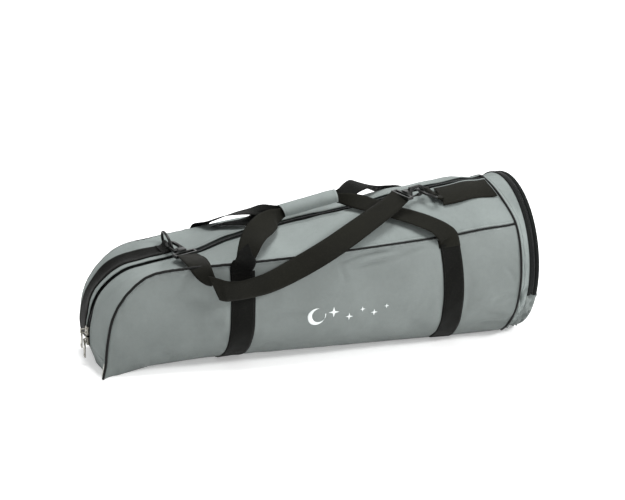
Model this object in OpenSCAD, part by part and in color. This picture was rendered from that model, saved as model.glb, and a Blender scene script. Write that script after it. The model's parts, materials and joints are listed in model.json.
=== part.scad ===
// Telescope carry case: a padded soft case that grows from a rounded, boxy nose to a round end with a zipped lid.
// Frame: +X towards the round end lid, +Z up, the front of the case faces -Y, the case stands on z = 0.
// Sections of the body are swept along the case: upright from nose_x to seam_x, fanned about nose_x round the nose.

/* [Body] */
// X of the upright section where the fanned nose begins
nose_x = -310; // [-330:5:-280]
// radius of the zip line round the nose
nose_r = 126; // [110:1:140]
// X of the centre of the nose zip arc
nose_cx = -276; // [-290:1:-260]
// height of the centre of the nose zip arc
nose_cz = 54; // [40:1:70]
// half width between the two nose seams
nose_half = 82; // [60:1:100]
// half width of the body at the front pair of bands
band_half = 119; // [100:1:140]
// how far the rear nose corner is pushed in, as a share of its reach
rear_tuck = 0.42; // [0:0.02:0.6]
// outer fabric thickness
cloth = 2; // [1.5:0.1:3]
// foam thickness in the walls
foam = 6; // [3:0.5:8]

/* [Round end] */
// X of the seam where the collar joins the body
seam_x = 357; // [340:1:365]
// radius of the body at that seam
collar_r = 146; // [130:1:155]
// height of the axis of the round end
axis_z = 133; // [120:1:140]
// radius of the lid
lid_r = 139; // [125:1:144]
// X of the outer face of the lid
lid_x = 396; // [390:1:410]
// height of the fold line that carries the lid
fold_z = 88.7; // [70:0.1:110]

/* [Webbing] */
// width of the bands and of the shoulder strap
web = 40; // [25:1:50]
// width of the two anchor webbings along the top
anchor_w = 45; // [38:1:48]
// webbing thickness
web_t = 1.8; // [1.2:0.1:2.5]
// X of the band pair near the nose
band_a = -155; // [-180:5:-130]
// X of the band pair near the lid
band_b = 234; // [200:2:260]
// radius of the piping
piping_r = 2; // [1.5:0.1:3]

/* [Hardware] */
// wire radius of the D-rings
wire_r = 2.5; // [2:0.1:3]
// centre radius of the D-ring bow
ring_r = 26; // [24:0.5:30]
// opening height inside the snap hooks
hook_gap = 12.4; // [11:0.2:14]
// length of a zip pull
pull_len = 31; // [20:1:36]
// outer radius of the wrapped grip
grip_r = 10.5; // [9.5:0.5:13]
// length of the wrapped grip
grip_len = 100; // [90:2:120]

/* [Hidden] */

$fn = 64;
c_cloth = [0.55, 0.59, 0.58];
c_top = [0.62, 0.65, 0.64];
c_web = [0.15, 0.15, 0.14];
c_trim = [0.08, 0.08, 0.08];
c_zip = [0.17, 0.19, 0.19];
c_metal = [0.62, 0.62, 0.62];
c_plastic = [0.09, 0.09, 0.09];
c_foam = [0.8, 0.8, 0.78];
c_lining = [0.3, 0.31, 0.32];

// ---- body surface ----
// distance from the fan centre (nose_x, 0) to the nose zip arc, seen at the fan angle a
function arc_reach(a) =
    let (dx = nose_cx - nose_x, m = dx * cos(a) + nose_cz * sin(a))
    m + sqrt(m * m + nose_r * nose_r - dx * dx - nose_cz * nose_cz);

// rows: X, fan angle, centre height, seam height, seam half width, greatest half width, its height,
// half width on the floor, roundness of the lower corner, roundness of the top
B = band_half;
H = nose_half;
T = [
    [nose_x, 180, arc_reach(180), 91, H + 2, H - 12, 60, 46, 1.0, 3.0],
    [nose_x, 165, arc_reach(165), 90, H, H - 8, 58, 46, 1.5, 2.6],
    [nose_x, 150, arc_reach(150), 98, H - 1, H - 3, 58, 46, 1.75, 2.6],
    [nose_x, 135, arc_reach(135), 114, H - 1, H + 2, 60, 46, 2.1, 2.6],
    [nose_x, 120, arc_reach(120), 140, H, H + 5, 66, 46, 2.3, 2.6],
    [nose_x, 105, arc_reach(105), 165, H + 1, H + 7, 74, 46, 2.4, 2.4],
    [nose_x, 90, 170, 186, H + 3, H + 10, 82, 44, 2.4, 2.2],
    [-260, 90, 178, 192, H + 8, H + 17, 86, 38, 2.2, 2.2],
    [-205, 90, 187, 195, H + 17, B - 10, 90, 32, 2.0, 2.2],
    [-135, 90, 209, 198, B - 11, B, 94, 30, 1.9, 2.2],
    [-20, 90, 229, 201, B - 7, B + 7, 100, 40, 2.0, 2.2],
    [80, 90, 241, 205, B - 5, B + 11, 108, 48, 2.0, 2.2],
    [180, 90, 258, 209, B - 4, B + 15, 116, 54, 2.0, 2.2],
    [240, 90, 266, 212, B - 4, B + 17, 122, 58, 2.0, 2.2],
    [310, 90, 273, 219, B - 4, B + 22, 129, 60, 2.0, 2.2],
    [seam_x, 90, axis_z + collar_r, axis_z + sqrt(collar_r * collar_r - (B - 5) * (B - 5)), B - 5, collar_r,
        axis_z, sqrt(collar_r * collar_r - axis_z * axis_z), 2.0, 2.2]
];
LAST = len(T) - 1;

function spline(a, b, c, d, t) =
    0.5 * (2 * b + (c - a) * t + (2 * a - 5 * b + 4 * c - d) * t * t + (3 * b - a - 3 * c + d) * t * t * t);
function along(L, s) =
    let (n = len(L) - 1, i = min(max(floor(s), 0), n - 1))
    spline(L[max(i - 1, 0)], L[i], L[i + 1], L[min(i + 2, n)], s - i);
function row(s) =
    let (r = along(T, s))
    s < 5 ? [for (k = [0:9]) k == 2 ? arc_reach(r[1]) : r[k]] : r;
// station number for an X on the upright part of the body
function at_x(x) = lookup(x, [for (i = [6:LAST]) [T[i][0], i]]);

// half section: v = 0 floor edge, 1 widest point, 2 seam, 3 centre line
function half(r, v) =
    v <= 1 ?
        let (k = r[7] / r[5], n = r[8], tb = asin(pow(k, n / 2)), th = tb + (90 - tb) * v)
        [r[5] * pow(sin(th), 2 / n), r[6] * (1 - pow(max(cos(th), 0) / cos(tb), 2 / n))] :
    v <= 2 ?
        [r[5] - (r[5] - r[4]) * pow(v - 1, 2.2), r[6] + (r[3] - r[6]) * (v - 1)] :
        [r[4] * (3 - v), r[3] + (r[2] - r[3]) * (1 - pow(max(3 - v, 0), r[9]))];
function skin(s, v, tuck = 0) =
    let (r = row(s), p = half(r, v), u = max(0, (r[1] - 125) / 55))
    let (h = p[1] * (1 - tuck * u * u * (v < 2 ? 1 : 3 - v)))
    [r[0] + h * cos(r[1]), p[0], h * sin(r[1])];
function unit(a) = a / max(norm(a), 1e-9);
// inward normal on the +Y half
function inward(s, v, tuck = 0) =
    let (e = 0.02, a = max(s - e, 0), b = min(s + e, LAST), c = max(v - e, 0), d = min(v + e, 3))
    unit(cross(skin(b, v, tuck) - skin(a, v, tuck), skin(s, d, tuck) - skin(s, c, tuck)));
function deep(s, v, d, tuck = 0) = skin(s, v, tuck) + d * inward(s, v, tuck);
// nothing of a wall may hang below the surface the case stands on
function off_floor(p, d) = [p[0], p[1], max(p[2], 0.02 + 0.25 * (max(d, -3) + 3))];

// a closed sheet between depths d0 and d1; lo and hi give the v limits at a station
module sheet(s0, s1, n, lo, hi, m, d0, d1, tuck = 0, lift = function(v) 0) {
    function pt(i, j, d) =
        let (s = s0 + (s1 - s0) * i / n, a = lo(s), v = a + (hi(s) - a) * j / m)
        off_floor(deep(s, v, d - lift(v), tuck), d);
    function id(k, i, j) = (k * (n + 1) + i) * (m + 1) + j;
    pts = [for (d = [d0, d1]) for (i = [0:n]) for (j = [0:m]) pt(i, j, d)];
    outer = [
        for (i = [0:n - 1]) for (j = [0:m - 1]) each [
            [id(0, i, j), id(0, i + 1, j), id(0, i + 1, j + 1)], [id(0, i, j), id(0, i + 1, j + 1), id(0, i, j + 1)],
            [id(1, i, j), id(1, i + 1, j + 1), id(1, i + 1, j)], [id(1, i, j), id(1, i, j + 1), id(1, i + 1, j + 1)]
        ]
    ];
    rim_v = [
        for (i = [0:n - 1]) each [
            [id(0, i, 0), id(1, i, 0), id(1, i + 1, 0)], [id(0, i, 0), id(1, i + 1, 0), id(0, i + 1, 0)],
            [id(0, i, m), id(1, i + 1, m), id(1, i, m)], [id(0, i, m), id(0, i + 1, m), id(1, i + 1, m)]
        ]
    ];
    rim_s = [
        for (j = [0:m - 1]) each [
            [id(0, 0, j), id(0, 0, j + 1), id(1, 0, j + 1)], [id(0, 0, j), id(1, 0, j + 1), id(1, 0, j)],
            [id(0, n, j), id(1, n, j + 1), id(0, n, j + 1)], [id(0, n, j), id(1, n, j), id(1, n, j + 1)]
        ]
    ];
    polyhedron(pts, concat(outer, rim_v, rim_s), convexity = 8);
}

module side(front) {
    if (front) mirror([0, 1, 0]) children();
    else children();
}
function tuck_of(front) = front ? 0 : rear_tuck;

// a swept bar: each section is k corners placed with width direction U and normal N
module sweep(P, N, corners, turn = false) {
    n = len(P) - 1;
    k = len(corners);
    pts = [
        for (i = [0:n])
            let (t = unit(P[min(i + 1, n)] - P[max(i - 1, 0)]), u = unit(cross(t, N[i])), w = unit(cross(u, t)))
            for (c = corners) P[i] + (is_list(c[0]) ? c[0][i] : c[0]) * u + c[1] * w
    ];
    walls = [
        for (i = [0:n - 1]) for (j = [0:k - 1])
            let (a = i * k + j, b = i * k + (j + 1) % k, c = b + k, d = a + k)
            each (turn ? [[a, b, c], [a, c, d]] : [[a, c, b], [a, d, c]])
    ];
    cap_a = [for (j = [0:k - 1]) turn ? k - 1 - j : j];
    cap_b = [for (j = [0:k - 1]) n * k + (turn ? j : k - 1 - j)];
    polyhedron(pts, concat([cap_a], walls, [cap_b]), convexity = 8);
}
function round_corners(r, k) = [for (j = [0:k - 1]) [r * cos(360 * j / k), r * sin(360 * j / k)]];
function flat_corners(w, t) = [[-w / 2, -t / 2], [w / 2, -t / 2], [w / 2, t / 2], [-w / 2, t / 2]];

// ---- body nodes ----
module side_panel(front) {
    color(c_cloth) side(front)
        sheet(0, LAST, 36, function(s) s < 6 ? 0.12 : max(0.02, 0.12 * (7 - s)), function(s) 1.985, 10,
            0, cloth, tuck_of(front));
}
module front_side_panel() side_panel(true);
module rear_side_panel() side_panel(false);

function tape_edge(s) = 3 - 12 / row(s)[4];
module gusset(front) {
    color(c_top) side(front)
        sheet(1.35, LAST, 38, function(s) 2.015, function(s) tape_edge(s), 6, 0, cloth, tuck_of(front));
}
module front_gusset() gusset(true);
module rear_gusset() gusset(false);

module nose_end_patch() {
    color(c_top) for (front = [true, false])
        side(front)
            sheet(0, 1.3, 3, function(s) 2.015, function(s) 2.998, 6, 0, cloth, tuck_of(front));
}

function floor_edge(tuck) = concat(
    [for (v = [2.98:-0.2:0.05]) let (p = skin(0, v, tuck)) [p[0], p[1] - 0.3]],
    [for (i = [6:LAST]) [T[i][0] - (i == LAST ? 0.3 : 0), T[i][7] - 0.3]]
);
module floor_plate(inset, z0, z1) {
    rear = floor_edge(rear_tuck);
    front = floor_edge(0);
    n = len(front) - 1;
    translate([0, 0, z0])
        linear_extrude(z1 - z0)
            offset(delta = -inset)
                polygon(concat(rear, [for (i = [n:-1:0]) [front[i][0], -front[i][1]]]));
}
module base_panel() color(c_cloth) floor_plate(2.6, 0, cloth);
module base_board() color(c_lining) floor_plate(7, cloth + 0.2, cloth + 3.2);
module floor_lining() color(c_lining) floor_plate(9, cloth + 3.4, cloth + 4.2);

module piping(front) {
    tuck = tuck_of(front);
    S = [for (i = [0:46]) 0.02 + (LAST - 0.04) * i / 46];
    color(c_trim) side(front)
        sweep([for (s = S) let (p = deep(s, 2, 0.6, tuck)) [p[0], p[1], max(p[2], piping_r + 0.4)]], [for (s = S) -inward(s, 2, tuck)], round_corners(piping_r, 8));
}
module front_piping() piping(true);
module rear_piping() piping(false);

// things turned about the axis of the round end
module round_end() translate([0, 0, axis_z]) rotate([0, 90, 0]) children();
module above(z) intersection() {
    children();
    translate([200, -250, z]) cube([400, 500, 500]);
}
module below(z) intersection() {
    children();
    translate([200, -250, z - 500]) cube([400, 500, 500]);
}
module hoop(x0, x1, r0, r1, t) {
    round_end() translate([0, 0, x0]) difference() {
        cylinder(h = x1 - x0, r1 = r0, r2 = r1, $fn = 128);
        translate([0, 0, -0.01]) cylinder(h = x1 - x0 + 0.02, r1 = r0 - t, r2 = r1 - t, $fn = 128);
    }
}
module floored_hoop(x0, x1, r0, r1, t) {
    above(0) hoop(x0, x1, r0, r1, t);
    half_w = sqrt(pow(min(r0, r1) - t, 2) - axis_z * axis_z);
    translate([x0, -half_w, 0]) cube([x1 - x0, 2 * half_w, t * 0.5]);
}
module collar_piping() {
    low = 61.4;
    color(c_trim) translate([seam_x + 1.2, 0, axis_z]) rotate([0, 90, 0]) rotate([0, 0, 90 - low])
        rotate_extrude(angle = 180 + 2 * low, $fn = 128) translate([collar_r + 0.8, 0]) circle(r = piping_r, $fn = 24);
}
module collar() {
    color(c_top) floored_hoop(seam_x + 0.4, 377, collar_r - 1.6, lid_r + 1.4, cloth);
}
module lower_end_segment() {
    color(c_cloth) {
        above(0) below(fold_z - 1.2) hoop(377.2, lid_x, lid_r + 1.4, lid_r + 0.4, cloth - 0.4);
        above(cloth) below(fold_z - 1.2) round_end() translate([0, 0, lid_x - cloth])
            cylinder(h = cloth, r = lid_r - 1.4, $fn = 128);
        translate([377.2, -38, 0]) cube([lid_x - 377.2, 76, cloth]);
    }
}
module collar_zip_tape() {
    color(c_zip) above(fold_z + 1) hoop(377.3, 383.4, lid_r + 1, lid_r + 0.6, 1.2);
}
module end_zip_coil() {
    a = asin((fold_z + 5 - axis_z) / lid_r);
    color(c_zip) translate([386, 0, axis_z]) rotate([0, 90, 0]) rotate([0, 0, 90 - a])
        rotate_extrude(angle = 180 + 2 * a, $fn = 128) translate([lid_r, 0]) circle(r = 2.2, $fn = 20);
}

module side_foam(front) {
    color(c_foam) side(front)
        sheet(2.2, LAST - 0.02, 36, function(s) 0.3 - min(0.15, max(0, s - 6) * 0.1), function(s) 1.88, 8,
            cloth + 0.6, cloth + foam, tuck_of(front));
}
module front_side_foam() side_foam(true);
module rear_side_foam() side_foam(false);
module top_foam(front) {
    color(c_foam) side(front)
        sheet(3.2, LAST - 0.02, 32, function(s) 2.14, function(s) 3 - 24 / row(s)[4], 5, cloth + 0.6, cloth + foam,
            tuck_of(front));
}
module front_top_foam() top_foam(true);
module rear_top_foam() top_foam(false);
module lining(front) {
    color(c_lining) side(front)
        sheet(2.4, LAST - 0.02, 36, function(s) 0.36 - min(0.2, max(0, s - 6) * 0.1), function(s) 3 - 26 / row(s)[4], 16,
            cloth + foam + 1.2, cloth + foam + 2, tuck_of(front));
}
module front_lining() lining(true);
module rear_lining() lining(false);

// ---- main zip ----
module zip_tape(front) {
    color(c_zip) side(front)
        sheet(1.4, LAST, 52, function(s) 3 - 16 / row(s)[4], function(s) 3 - 3.2 / row(s)[4], 1,
            cloth + 0.15, cloth + 1.15, tuck_of(front));
}
module front_zip_tape() zip_tape(true);
module rear_zip_tape() zip_tape(false);
// angle on the nose arc, counted from straight back (-X) towards the top
module nose_arc(from, to) {
    translate([nose_cx, 0, nose_cz]) rotate([90, 0, 0]) rotate([0, 0, 180 - to])
        rotate_extrude(angle = to - from, $fn = 160) children();
}
module nose_zip_coil() {
    color(c_zip) nose_arc(-8.6, 53) translate([nose_r - 0.8, 0]) circle(r = 2.3, $fn = 20);
}
module top_zip_coil() {
    S = [for (i = [0:40]) 5.08 + (LAST - 5.1) * i / 40];
    color(c_zip) sweep([for (s = S) skin(s, 3) - [0, 0, 0.8]], [for (s = S) [0, 0, 1]], round_corners(2.3, 8));
}

// ---- zip sliders and pulls ----
// the slider body rides over the coil on the arc; crown is the height of the bail above it
module slider_profile(r, reach) {
    translate([r + 2, -6]) square([2.2, 12]);
    for (y = [-6, 4.2]) translate([r + 2 - reach, y]) square([reach + 0.2, 1.8]);
}
module bail(r, crown) {
    translate([r + 4, 0, 0]) difference() {
        translate([0, -4, -1.6]) cube([crown + 1.6, 8, 3.2]);
        translate([-1, -2.4, -2]) cube([crown + 1, 4.8, 4]);
    }
}
module nose_slider(a, crown) {
    color(c_metal) {
        nose_arc(a - 3.3, a + 3.3) slider_profile(nose_r, 3.4);
        translate([nose_cx, 0, nose_cz]) rotate([90, 0, 0]) rotate([0, 0, 180 - a]) bail(nose_r, crown);
    }
}
// a pull hanging straight down from its hinge bar
module pull(len) {
    color(c_metal) {
        rotate([90, 0, 0]) translate([0, 0, -3.9]) cylinder(h = 7.8, r = 0.8, $fn = 24);
        for (y = [-3.9, 2.5]) translate([-0.8, y, -9]) cube([1.6, 1.4, 9.4]);
        difference() {
            translate([-0.8, -3.9, -len]) cube([1.6, 7.8, len - 8.9]);
            translate([-2, 0, -len + 5]) rotate([0, 90, 0]) cylinder(h = 4, r = 2, $fn = 32);
        }
    }
}
low_a = -8.2 + 3.9;
high_a = low_a + 8;
function bar_r(crown) = nose_r + 3 + crown;
function on_arc(a, r) = [nose_cx - r * cos(a), 0, nose_cz + r * sin(a)];
low_crown = 3.4;
high_crown = 9;
module lower_nose_slider() nose_slider(low_a, low_crown);
module lower_nose_pull() translate(on_arc(low_a, bar_r(low_crown))) pull(pull_len);
module upper_nose_slider() nose_slider(high_a, high_crown);
module upper_nose_pull() translate(on_arc(high_a, bar_r(high_crown))) pull(pull_len);

// the lid slider is parked behind the case, just above the fold line
end_a = -10;
module end_arc(a) translate([386, 0, axis_z]) rotate([a, 0, 0]) children();
module end_zip_slider() {
    color(c_metal) {
        end_arc(end_a) rotate([0, 90, 0]) rotate([0, 0, 87]) rotate_extrude(angle = 6, $fn = 160)
            slider_profile(lid_r + 0.8, 1.4);
        end_arc(end_a) rotate([0, 90, 0]) rotate([0, 0, 90]) bail(lid_r + 0.8, low_crown);
    }
}
module end_zip_pull() {
    r = lid_r + 3.8 + low_crown;
    translate([386, r * cos(end_a), axis_z + r * sin(end_a)]) rotate([0, 0, 90]) pull(pull_len);
}

// ---- lid ----
lid_low = fold_z + 1.2;
module lid_disc(x0, x1, r) above(lid_low) round_end() translate([0, 0, x0]) cylinder(h = x1 - x0, r = r, $fn = 128);
module end_lid() color(c_cloth) lid_disc(lid_x - 4.5, lid_x, lid_r - 0.8);
module lid_zip_tape() color(c_zip) above(lid_low) hoop(388.6, lid_x, lid_r + 0.6, lid_r + 0.4, 1.1);
module lid_stiffener() color(c_lining) lid_disc(389.4, 391.3, lid_r - 3);
module lid_lining() color(c_lining) lid_disc(388.3, 389.2, lid_r - 3);

// ---- webbing ----
module bands(front) {
    color(c_web) side(front) for (x = [band_a, band_b])
        sheet(at_x(x - web / 2), at_x(x + web / 2), 3, function(s) 0.05, function(s) 2.02, 18,
            -0.3 - web_t, -0.3, 0, function(v) v > 1.85 ? 1.6 : 0);
}
module front_bands() bands(true);
module rear_bands() bands(false);

// a ribbon through control rows [x, y, z, nx, ny, nz, width]
module ribbon(C, n, t, turn = false) {
    L = len(C) - 1;
    R = [for (i = [0:n]) along(C, L * i / n)];
    w = [for (r = R) r[6] / 2];
    sweep([for (r = R) [r[0], r[1], r[2]]], [for (r = R) unit([r[3], r[4], r[5]])],
        [[-w, -t / 2], [w, -t / 2], [w, t / 2], [-w, t / 2]], turn);
}
grip_c = [7, -3, 258];
grip_tilt = -10.4;
function grip_end(u, y) = grip_c + [u * cos(grip_tilt), y, -u * sin(grip_tilt)];
gl = grip_len / 2;
module front_handle_arms() {
    a = grip_end(-gl - 2, -2.4);
    b = grip_end(gl + 4.6, -2.4);
    color(c_web) {
        ribbon([
            [band_a, -113, 202, 0, -0.75, 0.65, web], [-150, -102, 215, -0.1, -0.8, 0.5, 32],
            [-132, -85, 230, -0.3, -0.8, 0.45, 34], [-97, -50, 243, -0.35, -0.85, 0.35, 34],
            [-66, -22, 246, -0.2, -0.95, 0.2, 26], [a[0], a[1], a[2], 0, -1, 0, 13]
        ], 20, web_t);
        ribbon([
            [b[0], b[1], b[2], 0, -1, 0, 13], [82, -18, 264, 0, -0.9, 0.4, 20], [112, -42, 258, 0.1, -0.7, 0.7, 26],
            [150, -68, 249, 0.1, -0.5, 0.85, 32], [190, -96, 235, 0.1, -0.55, 0.8, 36],
            [band_b - 3, -118, 214, 0, -0.8, 0.6, web]
        ], 20, web_t);
    }
}
module rear_handle_arms() {
    a = grip_end(-gl - 2, 2.4);
    b = grip_end(gl + 4.6, 2.4);
    color(c_web) {
        ribbon([
            [band_a, 113, 202, 0, 0.75, 0.65, web], [-148, 92, 216, 0, 0.6, 0.8, 34],
            [-131, 70, 228, -0.1, 0.4, 0.9, 34], [-97, 36, 241, -0.1, 0.45, 0.9, 32],
            [-66, 12, 248, -0.1, 0.8, 0.5, 22], [a[0], a[1], a[2], 0, 1, 0, 13]
        ], 20, web_t);
        ribbon([
            [b[0], b[1], b[2], 0, 1, 0, 13], [84, 10, 275, 0, 0.9, 0.4, 20], [110, 27, 276, 0.1, 0.6, 0.8, 28],
            [140, 52, 268, 0.1, 0.5, 0.85, 34], [188, 96, 242, 0.1, 0.7, 0.75, 36],
            [band_b - 3, 118, 214, 0, 0.8, 0.6, web]
        ], 20, web_t);
    }
}

// anchor webbing runs along the top and ends in a loop round the D-ring bar
nose_bar = [-243, 36.5, 190.5];
lid_bar = [224, -39.5, 267.5];
module bar_loop(p, tail_x, tail_z) {
    w = anchor_w - 1;
    color(c_web) translate(p) {
        rotate([90, 0, 0]) translate([0, 0, -w / 2]) difference() {
            cylinder(h = w, r = wire_r + 2.3, $fn = 40);
            translate([0, 0, -1]) cylinder(h = w + 2, r = wire_r + 0.5, $fn = 40);
        }
        hull() {
            translate([tail_x > 0 ? 2.8 : -3.6, -w / 2, -4.7]) cube([0.8, w, web_t]);
            translate([tail_x, -w / 2, tail_z]) cube([0.8, w, web_t]);
        }
    }
}
module nose_anchor_webbing() {
    color(c_web) sheet(1.5, at_x(nose_bar[0] - 14), 22, function(s) 3 - 58 / row(s)[4], function(s) 3 - 15 / row(s)[4],
        2, -0.3 - web_t, -0.3, rear_tuck);
    bar_loop(nose_bar, -16, -9);
}
module lid_anchor_webbing() {
    color(c_web) mirror([0, 1, 0])
        sheet(at_x(lid_bar[0] + 14), LAST - 0.15, 10, function(s) 3 - 62 / row(s)[4], function(s) 3 - 17 / row(s)[4],
            3, -0.3 - web_t, -0.3);
    bar_loop(lid_bar, 16, -7.6);
}

// rows: centre of the strap, its outward direction and its width
STRAP = [
    [-229, -27, 193.6, 0.05, -0.15, 1, web], [-225, -38, 192.5, 0.05, -0.1, 1, web], [-222, -60, 195, 0, 0, 1, web],
    [-221, -84, 201, -0.05, -0.15, 1, 36], [-221, -105, 202, -0.2, -0.6, 0.75, 34],
    [-220, -119, 192, -0.35, -0.9, 0.2, 34], [-214, -126, 175, -0.45, -0.85, -0.2, 36],
    [-200, -131, 158, -0.45, -0.85, -0.3, web], [-178, -132, 149, -0.2, -1, -0.1, web],
    [-150, -128, 148, -0.05, -1, 0, web], [-104, -127, 160, 0, -1, 0.2, web], [-54, -126, 182, 0, -0.95, 0.35, web],
    [5, -117, 209, 0, -0.8, 0.6, web], [70, -92, 239, 0, -0.55, 0.8, web], [128, -67, 262, -0.05, -0.4, 0.9, web],
    [152, -56, 271, -0.1, -0.3, 0.95, web], [158, -54, 273, -0.1, -0.25, 0.95, web]
];
module shoulder_strap() color(c_web) ribbon(STRAP, 70, web_t);

// crescent and two small stars, a thin transfer on the front panel
module printed_emblem() {
    color([0.85, 0.87, 0.87]) translate([36, -(band_half + 11.4), 96]) rotate([90, 0, 0]) linear_extrude(0.5) {
        translate([-52, 0]) difference() {
            circle(r = 15, $fn = 48);
            translate([7, 4]) circle(r = 13, $fn = 48);
        }
        for (p = [[-18, 5, 9], [8, -5, 6], [30, 3, 4]]) translate([p[0], p[1]])
            polygon([for (k = [0:7]) (k % 2 == 0 ? p[2] : p[2] * 0.3) * [sin(45 * k), cos(45 * k)]]);
    }
}

// ---- grip ----
module grip_frame() translate(grip_c) rotate([0, grip_tilt, 0]) rotate([0, 90, 0]) children();
module handle_grips() {
    color(c_web) for (y = [-2.4, 2.4])
        grip_frame() translate([-6.5, y - web_t / 2, -gl + 0.2]) cube([13, web_t, 2 * gl - 0.4]);
}
module grip_wrap() {
    color(c_top) grip_frame() translate([0, 0, -grip_len / 2]) difference() {
        cylinder(h = grip_len, r = grip_r, $fn = 72);
        translate([0, 0, -1]) cylinder(h = grip_len + 2, r = grip_r - 2.4, $fn = 72);
    }
}
// the closing flap of the grip, rooted at the top rear and lapping down the front
flap_root = 150;
module grip_flap() {
    color(c_cloth) grip_frame() translate([0, 0, -grip_len / 2 + 2]) rotate([0, 0, flap_root])
        rotate_extrude(angle = 110, $fn = 72) translate([grip_r + 0.3, 0]) square([1.8, grip_len - 4]);
}

// ---- D-rings and snap hooks ----
module d_ring(p, lean) {
    color(c_plastic) translate(p) rotate([0, lean, 0]) {
        rotate([90, 0, 0]) translate([0, 0, -ring_r]) cylinder(h = 2 * ring_r, r = wire_r, $fn = 32);
        rotate([0, 0, 90]) rotate([90, 0, 0]) rotate_extrude(angle = 180, $fn = 96)
            translate([ring_r, 0]) circle(r = wire_r, $fn = 32);
        for (y = [-ring_r, ring_r]) translate([0, y, 0]) sphere(r = wire_r, $fn = 32);
    }
}
nose_lean = -16;
lid_lean = -72;
module nose_d_ring() d_ring(nose_bar, nose_lean);
module lid_d_ring() d_ring(lid_bar, lid_lean);

// local frame of a hook: the ring bow passes the origin, the eye lies towards +X
module hook_frame(p, heading, dip) translate(p) rotate([0, 0, heading]) rotate([0, dip, 0]) children();
g = hook_gap / 2;
module hook_body() {
    color(c_plastic) {
        rotate([90, 0, 0]) translate([0, 0, -2.5]) linear_extrude(5) {
            difference() {
                circle(r = g + 4, $fn = 64);
                circle(r = g, $fn = 64);
                translate([0, -20]) square([20, 40]);
            }
            translate([-0.01, g]) square([18.01, 4]);
            translate([16, -g - 3.4]) square([6, 2 * g + 7.4]);
            translate([-0.01, -g - 4]) square([2.6, 4]);
        }
        translate([21, 0, 0]) rotate([0, 90, 0]) cylinder(h = 6.6, r = 2.5, $fn = 32);
        translate([27.6, 0, 0]) rotate([0, 90, 0]) cylinder(h = 1.6, r = 4, $fn = 32);
    }
}
module hook_eye() {
    color(c_plastic) difference() {
        union() {
            translate([23, -7.5, -5.5]) cube([9, 15, 11]);
            translate([31.5, -24.5, -2.6]) cube([12, 49, 5.2]);
        }
        translate([22, 0, 0]) rotate([0, 90, 0]) cylinder(h = 6, r = 2.9, $fn = 32);
        translate([27.2, 0, 0]) rotate([0, 90, 0]) cylinder(h = 2.4, r = 4.4, $fn = 32);
        translate([34.5, -20.6, -4]) cube([6, 41.2, 8]);
    }
}
module hook_gate() {
    color(c_plastic) rotate([90, 0, 0]) translate([0, 0, -2.1]) linear_extrude(4.2) {
        translate([3, -g - 3.2]) square([11.3, 2.4]);
        translate([14.3, -g - 2]) circle(r = 1.2, $fn = 24);
    }
}
// the nose ring is caught low on the front side of its bow, so that hook lies flat; the lid ring at its top
catch_a = 22;
nose_hook_at = nose_bar + [-ring_r * sin(catch_a) * sin(-nose_lean), -ring_r * cos(catch_a),
    ring_r * sin(catch_a) * cos(nose_lean)];
lid_hook_at = lid_bar + [-ring_r * sin(-lid_lean), -2, ring_r * cos(lid_lean)];
module nose_hook_frame() hook_frame(nose_hook_at, -68.6, 8.6) children();
module lid_hook_frame() hook_frame(lid_hook_at, 196, 3) children();
module nose_hook_eye() nose_hook_frame() hook_eye();
module nose_hook() nose_hook_frame() rotate([-78, 0, 0]) hook_body();
module nose_hook_gate() nose_hook_frame() rotate([-78, 0, 0]) hook_gate();
module lid_hook_eye() lid_hook_frame() hook_eye();
module lid_hook() lid_hook_frame() hook_body();
module lid_hook_gate() lid_hook_frame() hook_gate();

front_side_panel();
rear_side_panel();
front_gusset();
rear_gusset();
base_panel();
nose_end_patch();
front_piping();
rear_piping();
collar_piping();
front_zip_tape();
rear_zip_tape();
nose_zip_coil();
top_zip_coil();
collar();
lower_end_segment();
collar_zip_tape();
end_zip_coil();
front_side_foam();
rear_side_foam();
front_top_foam();
rear_top_foam();
front_lining();
rear_lining();
base_board();
floor_lining();
front_bands();
rear_bands();
front_handle_arms();
rear_handle_arms();
nose_anchor_webbing();
lid_anchor_webbing();
shoulder_strap();
printed_emblem();
end_lid();
lid_zip_tape();
lid_stiffener();
lid_lining();
end_zip_slider();
end_zip_pull();
lower_nose_slider();
lower_nose_pull();
upper_nose_slider();
upper_nose_pull();
handle_grips();
grip_wrap();
grip_flap();
nose_d_ring();
lid_d_ring();
nose_hook_eye();
nose_hook();
nose_hook_gate();
lid_hook_eye();
lid_hook();
lid_hook_gate();
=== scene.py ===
import bmesh
import bpy
import json
import math
import numpy as np
from mathutils import Vector, Matrix
from mathutils.bvhtree import BVHTree

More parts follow.
